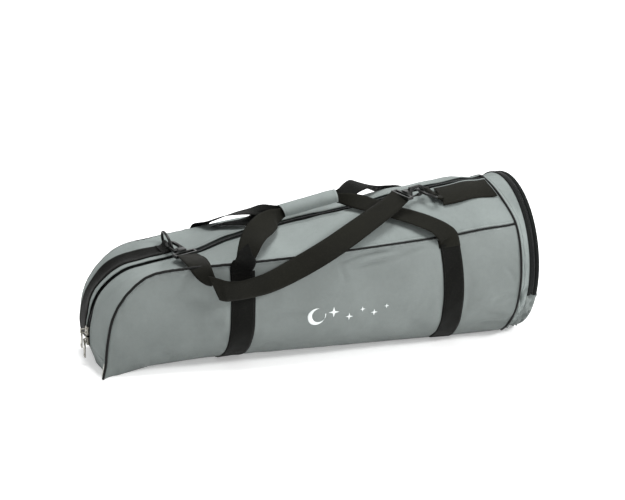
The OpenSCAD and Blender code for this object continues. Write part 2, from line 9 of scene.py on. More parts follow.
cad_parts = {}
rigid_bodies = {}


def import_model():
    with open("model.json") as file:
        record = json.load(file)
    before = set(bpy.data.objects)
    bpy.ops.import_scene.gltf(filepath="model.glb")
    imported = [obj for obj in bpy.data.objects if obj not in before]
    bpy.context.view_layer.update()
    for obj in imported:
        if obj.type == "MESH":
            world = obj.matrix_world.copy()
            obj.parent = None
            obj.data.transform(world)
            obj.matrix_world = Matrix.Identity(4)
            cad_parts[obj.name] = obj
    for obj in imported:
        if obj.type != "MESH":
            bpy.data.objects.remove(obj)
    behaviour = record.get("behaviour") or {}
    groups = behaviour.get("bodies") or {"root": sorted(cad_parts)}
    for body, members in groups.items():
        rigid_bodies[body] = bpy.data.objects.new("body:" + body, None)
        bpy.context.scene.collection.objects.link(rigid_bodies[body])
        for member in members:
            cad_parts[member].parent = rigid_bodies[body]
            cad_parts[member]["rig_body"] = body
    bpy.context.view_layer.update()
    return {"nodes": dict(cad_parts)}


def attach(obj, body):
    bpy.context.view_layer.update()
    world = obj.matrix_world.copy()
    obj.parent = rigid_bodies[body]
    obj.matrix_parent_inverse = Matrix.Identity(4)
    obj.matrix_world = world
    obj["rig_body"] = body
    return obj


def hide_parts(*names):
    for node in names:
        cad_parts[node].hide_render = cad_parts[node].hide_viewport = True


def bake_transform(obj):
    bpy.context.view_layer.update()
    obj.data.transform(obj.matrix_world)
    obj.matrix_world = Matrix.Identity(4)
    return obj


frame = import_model()
scene = bpy.context.scene

# ------------------------------------------------------------------ camera
AZ, EL, ROLL, DIST = math.radians(21.655), math.radians(19.289), math.radians(1.51), 7.005
forward = Vector((math.sin(AZ) * math.cos(EL), math.cos(AZ) * math.cos(EL), -math.sin(EL)))
right0 = Vector((math.cos(AZ), -math.sin(AZ), 0))
up0 = right0.cross(forward)
right = right0 * math.cos(ROLL) + up0 * math.sin(ROLL)
up = -right0 * math.sin(ROLL) + up0 * math.cos(ROLL)
cam_data = bpy.data.cameras.new("camera")
cam = bpy.data.objects.new("camera", cam_data)
scene.collection.objects.link(cam)
cam.matrix_world = Matrix.Translation(Vector((0.016, 0, 0.168)) - forward * DIST) @ Matrix(
    (right, up, -forward)).transposed().to_4x4()
cam_data.sensor_width = 36
cam_data.lens = 227.2
cam_data.clip_end = 60
scene.camera = cam

# ------------------------------------------------------------------ small maths

def unit(a):
    a = np.asarray(a, float)
    return a / np.maximum(np.linalg.norm(a, axis=-1, keepdims=True), 1e-9)


def waves(seed, low, high, count=14):
    """A smooth repeatable bumpy field: sine waves with wavelengths from low to high mm."""
    r = np.random.default_rng(seed)
    k = unit(r.normal(size=(count, 3))) * (2 * np.pi / np.exp(r.uniform(np.log(low), np.log(high), count)))[:, None]
    ph = r.uniform(0, 2 * np.pi, count)
    return lambda p: np.sin(np.asarray(p) @ k.T + ph).sum(-1) / math.sqrt(count)


def smooth(x, a, b):
    t = np.clip((np.asarray(x, float) - a) / (b - a), 0, 1)
    return t * t * (3 - 2 * t)


def bell(x, c, w):
    return np.exp(-((np.asarray(x, float) - c) / w) ** 2)


def along(L, s):
    """Catmull-Rom through the rows of L at the row numbers s."""
    L = np.asarray(L, float)
    n = len(L) - 1
    s = np.atleast_1d(np.asarray(s, float))
    i = np.clip(np.floor(s).astype(int), 0, n - 1)
    t = (s - i)[:, None]
    a, b, c, d = L[np.maximum(i - 1, 0)], L[i], L[i + 1], L[np.minimum(i + 2, n)]
    return 0.5 * (2 * b + (c - a) * t + (2 * a - 5 * b + 4 * c - d) * t * t + (3 * b - a - 3 * c + d) * t ** 3)


# ------------------------------------------------------------------ the body surface of the case, in mm
# the nose arc: where it meets the straight body, its radius, and its centre
NOSE_X, NOSE_R, NCX, NCZ = -310.0, 126.0, -276.0, 54.0
B, H = 119.0, 82.0  # half widths of the body and of the nose
SEAM_X, COLLAR_R, AXIS_Z, LID_R, FOLD_Z = 357.0, 146.0, 133.0, 139.0, 88.7
TUCK = 0.42  # how far the rear corner of the nose is tucked in
BANDS = ((-155.0, 0.0), (234.0, 9.0))  # where each webbing band stands, and how far it leans


def reach(a):
    a = np.radians(a)
    m = (NCX - NOSE_X) * np.cos(a) + NCZ * np.sin(a)
    return m + np.sqrt(m * m + NOSE_R ** 2 - (NCX - NOSE_X) ** 2 - NCZ ** 2)


# stations from the floor of the nose to the ring seam: x, angle, height at the zip, height of the piping, half width at
# the piping, half width of the side, height of the widest place, half width on the floor, and two roundness exponents
T = np.array([
    [NOSE_X, 180, 0, 91, H + 2, H - 12, 60, 46, 1.0, 3.0],
    [NOSE_X, 165, 0, 90, H, H - 8, 58, 46, 1.5, 2.6],
    [NOSE_X, 150, 0, 98, H - 1, H - 3, 58, 46, 1.75, 2.6],
    [NOSE_X, 135, 0, 114, H - 1, H + 2, 60, 46, 2.1, 2.6],
    [NOSE_X, 120, 0, 140, H, H + 5, 66, 46, 2.3, 2.6],
    [NOSE_X, 105, 0, 165, H + 1, H + 7, 74, 46, 2.4, 2.4],
    [NOSE_X, 90, 170, 186, H + 3, H + 10, 82, 44, 2.4, 2.2],
    [-260, 90, 178, 192, H + 8, H + 17, 86, 38, 2.2, 2.2],
    [-205, 90, 187, 195, H + 17, B - 10, 90, 32, 2.0, 2.2],
    [-135, 90, 209, 198, B - 11, B, 94, 30, 1.9, 2.2],
    [-20, 90, 229, 201, B - 7, B + 7, 100, 40, 2.0, 2.2],
    [80, 90, 241, 205, B - 5, B + 11, 108, 48, 2.0, 2.2],
    [180, 90, 258, 209, B - 4, B + 15, 116, 54, 2.0, 2.2],
    [240, 90, 266, 212, B - 4, B + 17, 122, 58, 2.0, 2.2],
    [310, 90, 273, 219, B - 4, B + 22, 129, 60, 2.0, 2.2],
    [SEAM_X, 90, AXIS_Z + COLLAR_R, AXIS_Z + math.sqrt(COLLAR_R ** 2 - (B - 5) ** 2), B - 5, COLLAR_R, AXIS_Z,
     math.sqrt(COLLAR_R ** 2 - AXIS_Z ** 2), 2.0, 2.2]])
for row_ in T[:6]:
    row_[2] = reach(row_[1])
LAST = len(T) - 1.0


def rows(s):
    r = along(T, s)
    nose = np.atleast_1d(s) < 5
    r[nose, 2] = reach(r[nose, 1])
    return r


def at_x(x):
    return np.interp(x, T[6:, 0], np.arange(6, len(T)))


def skin(s, v, tuck):
    """Points of the +Y half for stations s (n) and section places v (n, m)."""
    r = rows(s)[:, None, :]
    v = np.asarray(v, float)
    k = r[..., 7] / r[..., 5]
    n = r[..., 8]
    tb = np.arcsin(np.clip(k ** (n / 2), 0, 1))
    th = tb + (np.pi / 2 - tb) * np.clip(v, 0, 1)
    y1 = r[..., 5] * np.sin(th) ** (2 / n)
    z1 = r[..., 6] * (1 - (np.maximum(np.cos(th), 0) / np.cos(tb)) ** (2 / n))
    w = np.clip(v - 1, 0, 1)
    y2 = r[..., 5] - (r[..., 5] - r[..., 4]) * w ** 2.2
    z2 = r[..., 6] + (r[..., 3] - r[..., 6]) * w
    u = np.maximum(3 - v, 0)
    y3 = r[..., 4] * u
    z3 = r[..., 3] + (r[..., 2] - r[..., 3]) * (1 - np.minimum(u, 1) ** r[..., 9])
    y = np.where(v <= 1, y1, np.where(v <= 2, y2, y3))
    h = np.where(v <= 1, z1, np.where(v <= 2, z2, z3))
    q = np.maximum(0, (r[..., 1] - 125) / 55)
    h = h * (1 - tuck * q * q * np.where(v < 2, 1, 3 - v))
    a = np.radians(r[..., 1])
    return np.stack([r[..., 0] + h * np.cos(a), y + 0 * h, h * np.sin(a)], -1)


def outward(s, v, tuck):
    e = 0.02
    ds = skin(np.minimum(s + e, LAST), v, tuck) - skin(np.maximum(s - e, 0), v, tuck)
    dv = skin(s, np.minimum(v + e, 3), tuck) - skin(s, np.maximum(v - e, 0), tuck)
    n = unit(-np.cross(ds, dv))
    w = np.where(s[:, None] < 6.2, smooth(v, 0.04, 0.35), 1.0)[..., None]
    return unit(n * w + np.array([0, 1.0, 0]) * (1 - w))


broad = waves(3, 90, 260, 10)
middle = waves(11, 32, 80, 16)
fine = waves(23, 12, 26, 18)
# soft creases on the front side: x, z of both ends, width, depth (a negative depth is a raised fold)
CREASES = [
    (-92, 104, -30, 92, 5.5, 1.5), (-100, 92, -52, 74, 7, -1.2), (-112, 38, -78, 34, 6, 1.6),
    (-20, 120, 40, 118, 9, 1.0), (30, 186, 118, 195, 3.2, 2.2), (52, 176, 122, 189, 4.5, -1.8),
    (48, 171, 104, 180, 3.6, 1.5), (20, 176, 30, 148, 4.5, 1.3), (120, 178, 190, 196, 5, 1.2),
    (-215, 96, -186, 60, 13, 1.8), (-250, 148, -214, 120, 11, 1.6), (-300, 40, -262, 22, 9, 2.2),
    (300, 60, 342, 48, 7, 1.8),
    (312, 86, 348, 96, 6, 1.5), (296, 34, 346, 30, 6, 1.8), (205, 130, 212, 70, 9, 1.4), (262, 150, 258, 60, 9, 1.2),
    (-176, 120, -184, 58, 7, 1.2), (-132, 118, -128, 50, 7, 1.0), (330, 150, 350, 118, 5, 1.0),
    (150, 60, 190, 40, 8, 1.3)]
DEEPEN = 1.7  # all creases are this much deeper than listed


def creased(x, z):
    d = 0
    for x0, z0, x1, z1, w, depth in CREASES:
        lx, lz = x1 - x0, z1 - z0
        n2 = lx * lx + lz * lz
        t = ((x - x0) * lx + (z - z0) * lz) / n2
        bow = np.sin(np.clip(t, 0, 1) * np.pi) * 2.2
        off = ((x - x0) * -lz + (z - z0) * lx) / math.sqrt(n2) - bow
        d = d - DEEPEN * depth * bell(off, 0, w) * smooth(t, -0.25, 0.3) * (1 - smooth(t, 0.7, 1.25))
    return d


def cloth_lift(p, s, v, front):
    """How far the cloth stands off the plain surface, outward, in mm."""
    x, y, z = p[..., 0], p[..., 1], p[..., 2]
    q = p if front else p * [1, -1, 1]
    r = rows(s)[:, None, :]
    lift = 0.9 * broad(q) + 0.45 * middle(q) + 0.12 * fine(q)
    seam_mm = np.abs(v - 2) * np.where(v < 2, r[..., 3] - r[..., 6], r[..., 4])
    pucker = np.sin(x * 2 * np.pi / 15 + 2 * np.sin(x / 21)) * np.exp(-seam_mm / 9)
    lift = lift * (1 - 0.6 * np.exp(-seam_mm / 10)) + 0.35 * pucker
    lift = lift + 1.6 * (1 - np.exp(-seam_mm / 7)) - 1.5
    side = v < 2
    if front:
        lift = lift + np.where(side, creased(x, z), 0)
    for c, _ in BANDS:
        lift = lift - np.where(v < 2.05, 0.9 * bell(x, c, 19) - 0.5 * (bell(x, c - 31, 10) + bell(x, c + 31, 10)), 0)
    # wrinkles that gather towards the ring seam
    ring = smooth(x, 296, 352)
    lift = lift + 0.75 * ring * np.sin(z / 9.5 + 1.3 * np.sin(z / 31) + (0 if front else 2)) * smooth(200 - z, 0, 120)
    # the top cloth stands up beside the zip round the nose
    zip_mm = (3 - v) * r[..., 4]
    crest = smooth(s, 2.8, 4.2) * (1 - smooth(s, 7.3, 8.2))
    lift = lift + np.where(v > 2, crest[:, None] * 5.8 * bell(zip_mm, 17, 13), 0)
    lift = lift + np.where(v > 2, 0.5 * bell(zip_mm, 12, 2.5), 0)
    if not front:
        lift = lift + np.where(v > 2, 3.2 * bell(seam_mm, 16, 12), 0) * (1 - smooth(s, 9, 12))[:, None]
    floor = smooth(z, 0, 9)
    return lift * floor


def gap(s):
    """Half the width between the two cloth edges along the zip, in mm."""
    return 12 + 3.5 * bell(s, 8.7, 1.1) - 3 * smooth(s, 2.5, 4) * (1 - smooth(s, 7, 7.8))


# how far the cloth moves as it settles, in mm
SEAM_LEAN, SINK, SINK_REAR, ZIP_SHIFT, FOOT_TUCK = 14, 8, 7, 9, 13


def settle(P):
    """Near the round end the top cloth sinks, the ring seam leans back and the zip lies a little to the rear."""
    P = P.copy()
    x, y, z = P[..., 0].copy(), P[..., 1].copy(), P[..., 2].copy()
    g = smooth(x, 285, 350) * (1 - smooth(x, 367, 379))
    P[..., 0] -= SEAM_LEAN * g * np.clip((z - 215) / 64, 0, 1) ** 2
    P[..., 2] -= g * smooth(z, 190, 262) * (SINK + SINK_REAR * smooth(y, 0, 50))
    P[..., 1] += ZIP_SHIFT * smooth(x, 255, 325) * (1 - smooth(x, 350, 380)) * smooth(z, 225, 266)
    # the foot of the nose is drawn in behind its front corner
    P[..., 0] += FOOT_TUCK * smooth(-x, 380, 410) * (1 - smooth(z, 4, 46)) * smooth(y, -74, -30)
    return P


def body(s, v, front, off=0.0, raw=False):
    """Points and outward directions on the finished cloth, off mm above it, mirrored for the front."""
    s = np.asarray(s, float)
    v = np.asarray(v, float)
    if v.ndim == 1:
        v = np.broadcast_to(v, (len(s), len(v)))
    tuck = 0.0 if front else TUCK
    p = skin(s, v, tuck)
    n = outward(s, v, tuck)
    lift = np.zeros(v.shape) if raw else cloth_lift(p, s, v, front)
    p = p + n * (lift + off)[..., None]
    p[..., 2] = np.maximum(p[..., 2], 0.15 + max(off, 0) * 0.2)
    if front:
        p = p * [1, -1, 1]
        n = n * [1, -1, 1]
    return settle(p), n


# ------------------------------------------------------------------ mesh helpers
def build(name, verts, faces, material, uv=None, wear=None):
    """A smooth-shaded object from points in mm; wear is where the surface is rubbed, 0 to 1, per point."""
    me = bpy.data.meshes.new(name)
    points = np.asarray(verts, float).reshape(-1, 3) * 0.001
    me.from_pydata(points.tolist(), [], [tuple(int(i) for i in f) for f in faces])
    me.validate()
    if uv is not None:
        layer = me.uv_layers.new(name="UVMap")
        idx = np.zeros(len(me.loops), np.int32)
        me.loops.foreach_get("vertex_index", idx)
        layer.data.foreach_set("uv", (np.asarray(uv, float).reshape(-1, 2)[idx] * 0.001).astype(np.float32).ravel())
    if wear is not None:
        att = me.attributes.new("wear", "FLOAT", "POINT")
        att.data.foreach_set("value", np.asarray(wear, np.float32).ravel())
    me.shade_smooth()
    ob = bpy.data.objects.new(name, me)
    scene.collection.objects.link(ob)
    me.materials.append(material)
    return ob


def grid_faces(n, m, flip=False, base=0, wrap=False):
    i, j = np.meshgrid(np.arange(n - 1), np.arange(m if wrap else m - 1), indexing="ij")
    j2 = (j + 1) % m
    f = np.stack([i * m + j, (i + 1) * m + j, (i + 1) * m + j2, i * m + j2], -1).reshape(-1, 4) + base
    return f[:, ::-1] if flip else f


def plate(P, N, t, flip=False):
    """A closed sheet of thickness t under the grid P (n, m, 3)."""
    n, m = P.shape[:2]
    k = n * m
    out = P.reshape(-1, 3)
    inner = (P - N * t).reshape(-1, 3)
    inner[:, 2] = np.maximum(inner[:, 2], np.minimum(out[:, 2], 0.8))
    faces = [grid_faces(n, m, flip), grid_faces(n, m, not flip, k)]
    a = np.concatenate([np.arange(m), np.arange(1, n) * m + m - 1, (n - 1) * m + np.arange(m - 2, -1, -1),
                        np.arange(n - 2, 0, -1) * m])
    b = np.roll(a, -1)
    rim = np.stack([a, b, b + k, a + k], -1)
    faces.append(rim[:, ::-1] if flip else rim)
    return np.concatenate([out, inner]), np.concatenate(faces)


def arc_uv(P):
    """UV in mm: u along the first direction, v along the second."""
    du = np.linalg.norm(np.diff(P, axis=0), axis=-1)
    dv = np.linalg.norm(np.diff(P, axis=1), axis=-1)
    u = np.concatenate([np.zeros((1, P.shape[1])), np.cumsum(np.median(du, 1, keepdims=True) + 0 * du, 0)])
    v = np.concatenate([np.zeros((P.shape[0], 1)), np.cumsum(dv, 1)], 1)
    return np.stack([u, v - v[:, -1:]], -1)


def sheet(name, P, N, t, material, flip=True, uv=None, wear=None):
    """The object of a plate, with its UV in mm along the grid unless uv says otherwise."""
    v, f = plate(P, N, t, flip)
    uv = (arc_uv(P) if uv is None else uv).reshape(-1, 2)
    if wear is not None:
        wear = np.concatenate([np.broadcast_to(wear, P.shape[:2]).ravel()] * 2)
    return build(name, v, f, material, np.concatenate([uv, uv]), wear)


def tube(path, radius, sides=8, squash=(1, 1), normals=None):
    """Verts, faces and uv of a tube round path; squash gives its shape across and along the normals."""
    P = np.asarray(path, float)
    n = len(P)
    t = unit(np.gradient(P, axis=0))
    N = unit(np.asarray(normals, float)) if normals is not None else None
    if N is None:
        N = np.zeros_like(P)
        ref = np.array([0, 0, 1.0]) if abs(t[0][2]) < 0.9 else np.array([1.0, 0, 0])
        N[0] = unit(ref - t[0] * (ref @ t[0]))
        for i in range(1, n):
            N[i] = unit(N[i - 1] - t[i] * (N[i - 1] @ t[i]))
    U = unit(np.cross(t, N))
    W = unit(np.cross(U, t))
    rad = np.broadcast_to(np.asarray(radius, float), (n,))
    a = np.arange(sides) * 2 * np.pi / sides
    V = (P[:, None] + rad[:, None, None] * (squash[0] * np.cos(a)[None, :, None] * U[:, None]
                                            + squash[1] * np.sin(a)[None, :, None] * W[:, None]))
    L = np.concatenate([[0], np.cumsum(np.linalg.norm(np.diff(P, axis=0), axis=1))])
    uv = np.stack(np.broadcast_arrays(L[:, None], a[None] * float(rad.mean())), -1)
    verts = V.reshape(-1, 3)
    faces = grid_faces(n, sides, False, 0, True).tolist()
    faces += [list(range(sides))[::-1], list(range((n - 1) * sides, n * sides))]
    return verts, faces, uv.reshape(-1, 2)


def join_parts(parts):
    v, f, u, k = [], [], [], 0
    for pv, pf, pu in parts:
        v.append(np.asarray(pv).reshape(-1, 3))
        u.append(np.asarray(pu).reshape(-1, 2))
        f += [[i + k for i in face] for face in (pf.tolist() if isinstance(pf, np.ndarray) else pf)]
        k += len(v[-1])
    return np.concatenate(v), f, np.concatenate(u)


def stitches(lines, material, name, pitch=3.4, length=2.3, radius=0.24):
    """Rows of thread stitches; each line is (points, outward directions) in mm."""
    parts_v, parts_f, k = [], [], 0
    ring = np.array([[math.cos(a), math.sin(a)] for a in np.arange(5) * 2 * np.pi / 5])
    for P, N in lines:
        P = np.asarray(P, float)
        L = np.concatenate([[0], np.cumsum(np.linalg.norm(np.diff(P, axis=0), axis=1))])
        for c in np.arange(pitch, L[-1] - pitch, pitch):
            a = np.array([np.interp(c - length / 2, L, P[:, i]) for i in range(3)])
            b = np.array([np.interp(c + length / 2, L, P[:, i]) for i in range(3)])
            n = unit([np.interp(c, L, np.asarray(N)[:, i]) for i in range(3)])
            t = unit(b - a)
            u = np.cross(t, n)
            for f, h in ((0, -0.25), (0.22, 0.2), (0.78, 0.2), (1, -0.25)):
                o = a + (b - a) * f + n * h
                parts_v.append(o + radius * (ring[:, :1] * u + ring[:, 1:] * n))
            for q in range(3):
                b0 = k + q * 5
                for j in range(5):
                    parts_f.append((b0 + j, b0 + 5 + j, b0 + 5 + (j + 1) % 5, b0 + (j + 1) % 5))
            k += 20
    v = np.concatenate(parts_v)
    return build(name, v, parts_f, material, uv=v[:, [0, 2]])


# ------------------------------------------------------------------ materials
def linear(r, g, b):
    return tuple(((c / 255) / 12.92 if c <= 10 else ((c / 255 + 0.055) / 1.055) ** 2.4) for c in (r, g, b)) + (1,)


class Mat:
    """A little helper that keeps node making short."""

    def __init__(self, name):
        self.m = bpy.data.materials.new(name)
        self.m.use_nodes = True
        self.t = self.m.node_tree
        self.b = self.t.nodes["Principled BSDF"]

    def node(self, kind):
        return self.t.nodes.new(kind)

    def put(self, socket, value):
        """Link value to the socket, or set it."""
        if isinstance(value, bpy.types.NodeSocket):
            self.t.links.new(value, socket)
        else:
            socket.default_value = value

    def mul(self, a, b):
        return self.math("MULTIPLY", a, b)

    def add(self, a, b):
        return self.math("ADD", a, b)

    def math(self, op, a, b=0.0, c=0.0):
        n = self.t.nodes.new("ShaderNodeMath")
        n.operation = op
        for i, v in enumerate((a, b, c)):
            self.put(n.inputs[i], v)
        return n.outputs[0]

    def mix(self, f, a, b, mode="MIX"):
        n = self.t.nodes.new("ShaderNodeMix")
        n.data_type = "RGBA"
        n.blend_type = mode
        for i, v in ((0, f), (6, a), (7, b)):
            self.put(n.inputs[i], v)
        return n.outputs[2]

    def uv(self, mm):
        """UV coordinates with one unit per mm millimetres."""
        n = self.node("ShaderNodeUVMap")
        mp = self.node("ShaderNodeMapping")
        mp.inputs["Scale"].default_value = (1000 / mm, 1000 / mm, 1)
        self.t.links.new(n.outputs[0], mp.inputs[0])
        s = self.node("ShaderNodeSeparateXYZ")
        self.t.links.new(mp.outputs[0], s.inputs[0])
        return s.outputs[0], s.outputs[1]

    def noise(self, scale, detail=3.0, rough=0.55):
        tc = self.node("ShaderNodeTexCoord")
        n = self.node("ShaderNodeTexNoise")
        self.t.links.new(tc.outputs["Object"], n.inputs["Vector"])
        n.inputs["Scale"].default_value = scale
        n.inputs["Detail"].default_value = detail
        n.inputs["Roughness"].default_value = rough
        return n.outputs[0]

    def bump(self, height, strength, distance):
        n = self.node("ShaderNodeBump")
        n.inputs["Strength"].default_value = strength
        n.inputs["Distance"].default_value = distance
        self.put(n.inputs["Height"], height)
        self.put(self.b.inputs["Normal"], n.outputs[0])

    def set(self, **v):
        for k, x in v.items():
            self.put(self.b.inputs[k.replace("_", " ")], x)
        return self.m


def ramp(M, x, lo, hi, a, b):
    n = M.node("ShaderNodeMapRange")
    M.t.links.new(x, n.inputs[0])
    for i, v in ((1, lo), (2, hi), (3, a), (4, b)):
        n.inputs[i].default_value = v
    return n.outputs[0]


def cloth_material(name, rgb, pitch=0.9, depth=0.00022, sheen=0.06, rough=0.78, spread=0.1, worn=(166, 172, 170),
                   painted_low_shade=0.0):
    """Plain woven cloth: over-and-under threads, blotchy dye, paler where it rubs, and darkened towards the floor with
    painted shade.
    """
    M = Mat(name)
    u, v = M.uv(pitch)
    su = M.math("ABSOLUTE", M.math("SINE", M.mul(u, math.pi)))
    sv = M.math("ABSOLUTE", M.math("SINE", M.mul(v, math.pi)))
    check = M.math("MODULO", M.add(M.math("FLOOR", u), M.math("FLOOR", v)), 2.0)
    check = M.math("ABSOLUTE", check)
    over = M.mul(check, su)
    under = M.mul(M.math("SUBTRACT", 1.0, check), sv)
    weave = M.add(over, under)
    blotch = M.noise(9, 4)
    grain = M.noise(160, 3)
    base = linear(*rgb)
    dark = tuple(c * (1 - spread) for c in base[:3]) + (1,)
    light = tuple(min(1, c * (1 + spread)) for c in base[:3]) + (1,)
    col = M.mix(ramp(M, blotch, 0.3, 0.7, 0, 1), dark, light)
    col = M.mix(ramp(M, grain, 0.2, 0.8, 0.0, 0.10), col, (0.05, 0.06, 0.06, 1))
    # painted shade in the low gaps between the threads
    col = M.mix(ramp(M, weave, 0.0, 0.7, 0.16, 0.0), col, (0.02, 0.025, 0.025, 1))
    att = M.node("ShaderNodeAttribute")
    att.attribute_name = "wear"
    rub = M.mul(att.outputs["Fac"], ramp(M, M.noise(60, 4), 0.35, 0.65, 0.1, 0.8))
    col = M.mix(rub, col, linear(*worn))
    # painted shade: the cloth is darkened in patches within 0.12 m of the floor
    if painted_low_shade:
        tc = M.node("ShaderNodeTexCoord")
        sep = M.node("ShaderNodeSeparateXYZ")
        M.t.links.new(tc.outputs["Object"], sep.inputs[0])
        patchy = ramp(M, M.noise(22, 4), 0.3, 0.7, 0.5, 1.0)
        low = M.mul(ramp(M, sep.outputs[2], 0.0, 0.12, painted_low_shade, 0.0), patchy)
        col = M.mix(low, col, linear(52, 58, 56))
    height = M.add(weave, M.mul(grain, 0.6))
    M.bump(height, 0.55, depth)
    return M.set(Base_Color=col, Roughness=ramp(M, blotch, 0.3, 0.7, rough - 0.05, rough + 0.05), Sheen_Weight=sheen,
                 Sheen_Roughness=0.45, Specular_IOR_Level=0.12)


def webbing_material(name, rgb, rib=2.2, sheen=0.03, spread=0.2):
    """Flat strap webbing: columns of slanted ribs that meet in chevrons along its length (u along, v across)."""
    M = Mat(name)
    u, v = M.uv(1.0)
    col_i = M.math("PINGPONG", v, rib * 1.25)
    phase = M.add(M.mul(u, 1 / rib), M.mul(col_i, 0.55 / rib))
    ribs = M.math("ABSOLUTE", M.math("SINE", M.mul(phase, math.pi)))
    split = M.math("ABSOLUTE", M.math("SINE", M.mul(v, math.pi / (rib * 1.25))))
    height = M.mul(M.math("POWER", ribs, 0.6), M.math("POWER", split, 0.25))
    fuzz = M.noise(420, 3)
    blotch = M.noise(14, 3)
    base = linear(*rgb)
    dark = tuple(c * (1 - spread) for c in base[:3]) + (1,)
    light = tuple(c * (1 + spread * 1.3) for c in base[:3]) + (1,)
    col = M.mix(ramp(M, blotch, 0.3, 0.7, 0, 1), dark, light)
    # painted shade in the grooves between the ribs
    col = M.mix(ramp(M, height, 0.0, 0.8, 0.45, 0.0), col, (0.003, 0.003, 0.003, 1))
    col = M.mix(ramp(M, fuzz, 0.5, 0.8, 0.0, 0.1), col, (0.06, 0.055, 0.045, 1))
    M.bump(M.add(height, M.mul(fuzz, 0.35)), 0.7, 0.00035)
    return M.set(Base_Color=col, Roughness=0.66, Sheen_Weight=sheen, Sheen_Roughness=0.5, Specular_IOR_Level=0.06)


def plastic_material(name, rgb, rough=0.36, coat=0.1):
    M = Mat(name)
    n = M.noise(240, 3)
    s = M.noise(18, 4)
    base = linear(*rgb)
    col = M.mix(ramp(M, s, 0.35, 0.7, 0, 0.5), base, tuple(min(1, c * 1.8 + 0.004) for c in base[:3]) + (1,))
    M.bump(n, 0.25, 0.0001)
    return M.set(Base_Color=col, Roughness=ramp(M, s, 0.3, 0.7, rough - 0.08, rough + 0.12), Coat_Weight=coat,
                 Coat_Roughness=0.25, Specular_IOR_Level=0.3)


def metal_material(name, rgb):
    M = Mat(name)
    n = M.noise(130, 4)
    s = M.noise(900, 2)
    base = linear(*rgb)
    col = M.mix(ramp(M, n, 0.45, 0.75, 0, 0.45), base, linear(120, 112, 98))
    M.bump(s, 0.2, 0.00005)
    return M.set(Base_Color=col, Metallic=1.0, Roughness=ramp(M, n, 0.3, 0.7, 0.2, 0.42))


def plain_material(name, rgb, rough=0.7, scale=200, depth=0.0003, sheen=0.0, spread=0.12):
    M = Mat(name)
    n = M.noise(scale, 4)
    base = linear(*rgb)
    col = M.mix(ramp(M, n, 0.3, 0.7, 0, 1), tuple(c * (1 - spread) for c in base[:3]) + (1,),
                tuple(min(1, c * (1 + spread)) for c in base[:3]) + (1,))
    M.bump(n, 0.5, depth)
    return M.set(Base_Color=col, Roughness=rough, Sheen_Weight=sheen, Specular_IOR_Level=0.15)


GREY = cloth_material("grey_cloth", (118, 124, 122), painted_low_shade=0.34)
# a lighter copy of the grey cloth for the top panel, collar and grip: painted light standing in for the brighter light
# on the upper surfaces
GREY_LIT = cloth_material("grey_cloth_top", (125, 132, 130), painted_low_shade=0.34)
PIPE = plain_material("piping_cloth", (12, 13, 12), 0.6, 700, 0.0002, 0.03)
WEB = webbing_material("webbing_black", (9, 10, 8))
STRAP_M = webbing_material("webbing_strap", (19, 19, 14), rib=2.6)
TAPE = cloth_material("zip_tape_knit", (20, 23, 22), pitch=0.7, depth=0.00015, sheen=0.03, worn=(60, 66, 65))
BLACK_TAPE = cloth_material("zip_tape_black", (3, 4, 3), pitch=0.7, depth=0.00015, sheen=0.02, worn=(46, 47, 45))
COIL = plastic_material("zip_coil_nylon", (20, 22, 22), 0.34)
METAL = metal_material("nickel", (138, 136, 128))
PLASTIC = plastic_material("moulded_black", (13, 14, 13), 0.34, 0.06)
FOAM = plain_material("padding_foam", (190, 190, 184), 0.95, 420, 0.0006)
LINING = cloth_material("lining_nylon", (58, 60, 62), pitch=0.5, depth=0.0001, sheen=0.3, rough=0.55, worn=(80, 82, 84))
BOARD = plain_material("stiff_board", (84, 80, 72), 0.8, 80, 0.0002)
PRINT = plain_material("pale_print", (214, 219, 218), 0.6, 500, 0.0002, 0.0, 0.05)
# a darker copy of the black webbing: painted shade on the folded-under pieces of the handle arms
WEB_SHADED = webbing_material("webbing_fold_shaded", (5, 6, 5))
THREAD_G = plain_material("thread_grey", (112, 120, 118), 0.7, 900, 0.0001, 0.05)
THREAD_B = plain_material("thread_black", (28, 28, 26), 0.6, 900, 0.0001, 0.05)

ROOT = "case_body"


def done(ob, nodes=(), body_name=ROOT):
    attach(ob, body_name)
    if nodes:
        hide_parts(*([nodes] if isinstance(nodes, str) else nodes))
    return ob


Q = 1.0


def steps(n):
    return max(8, int(n * Q))


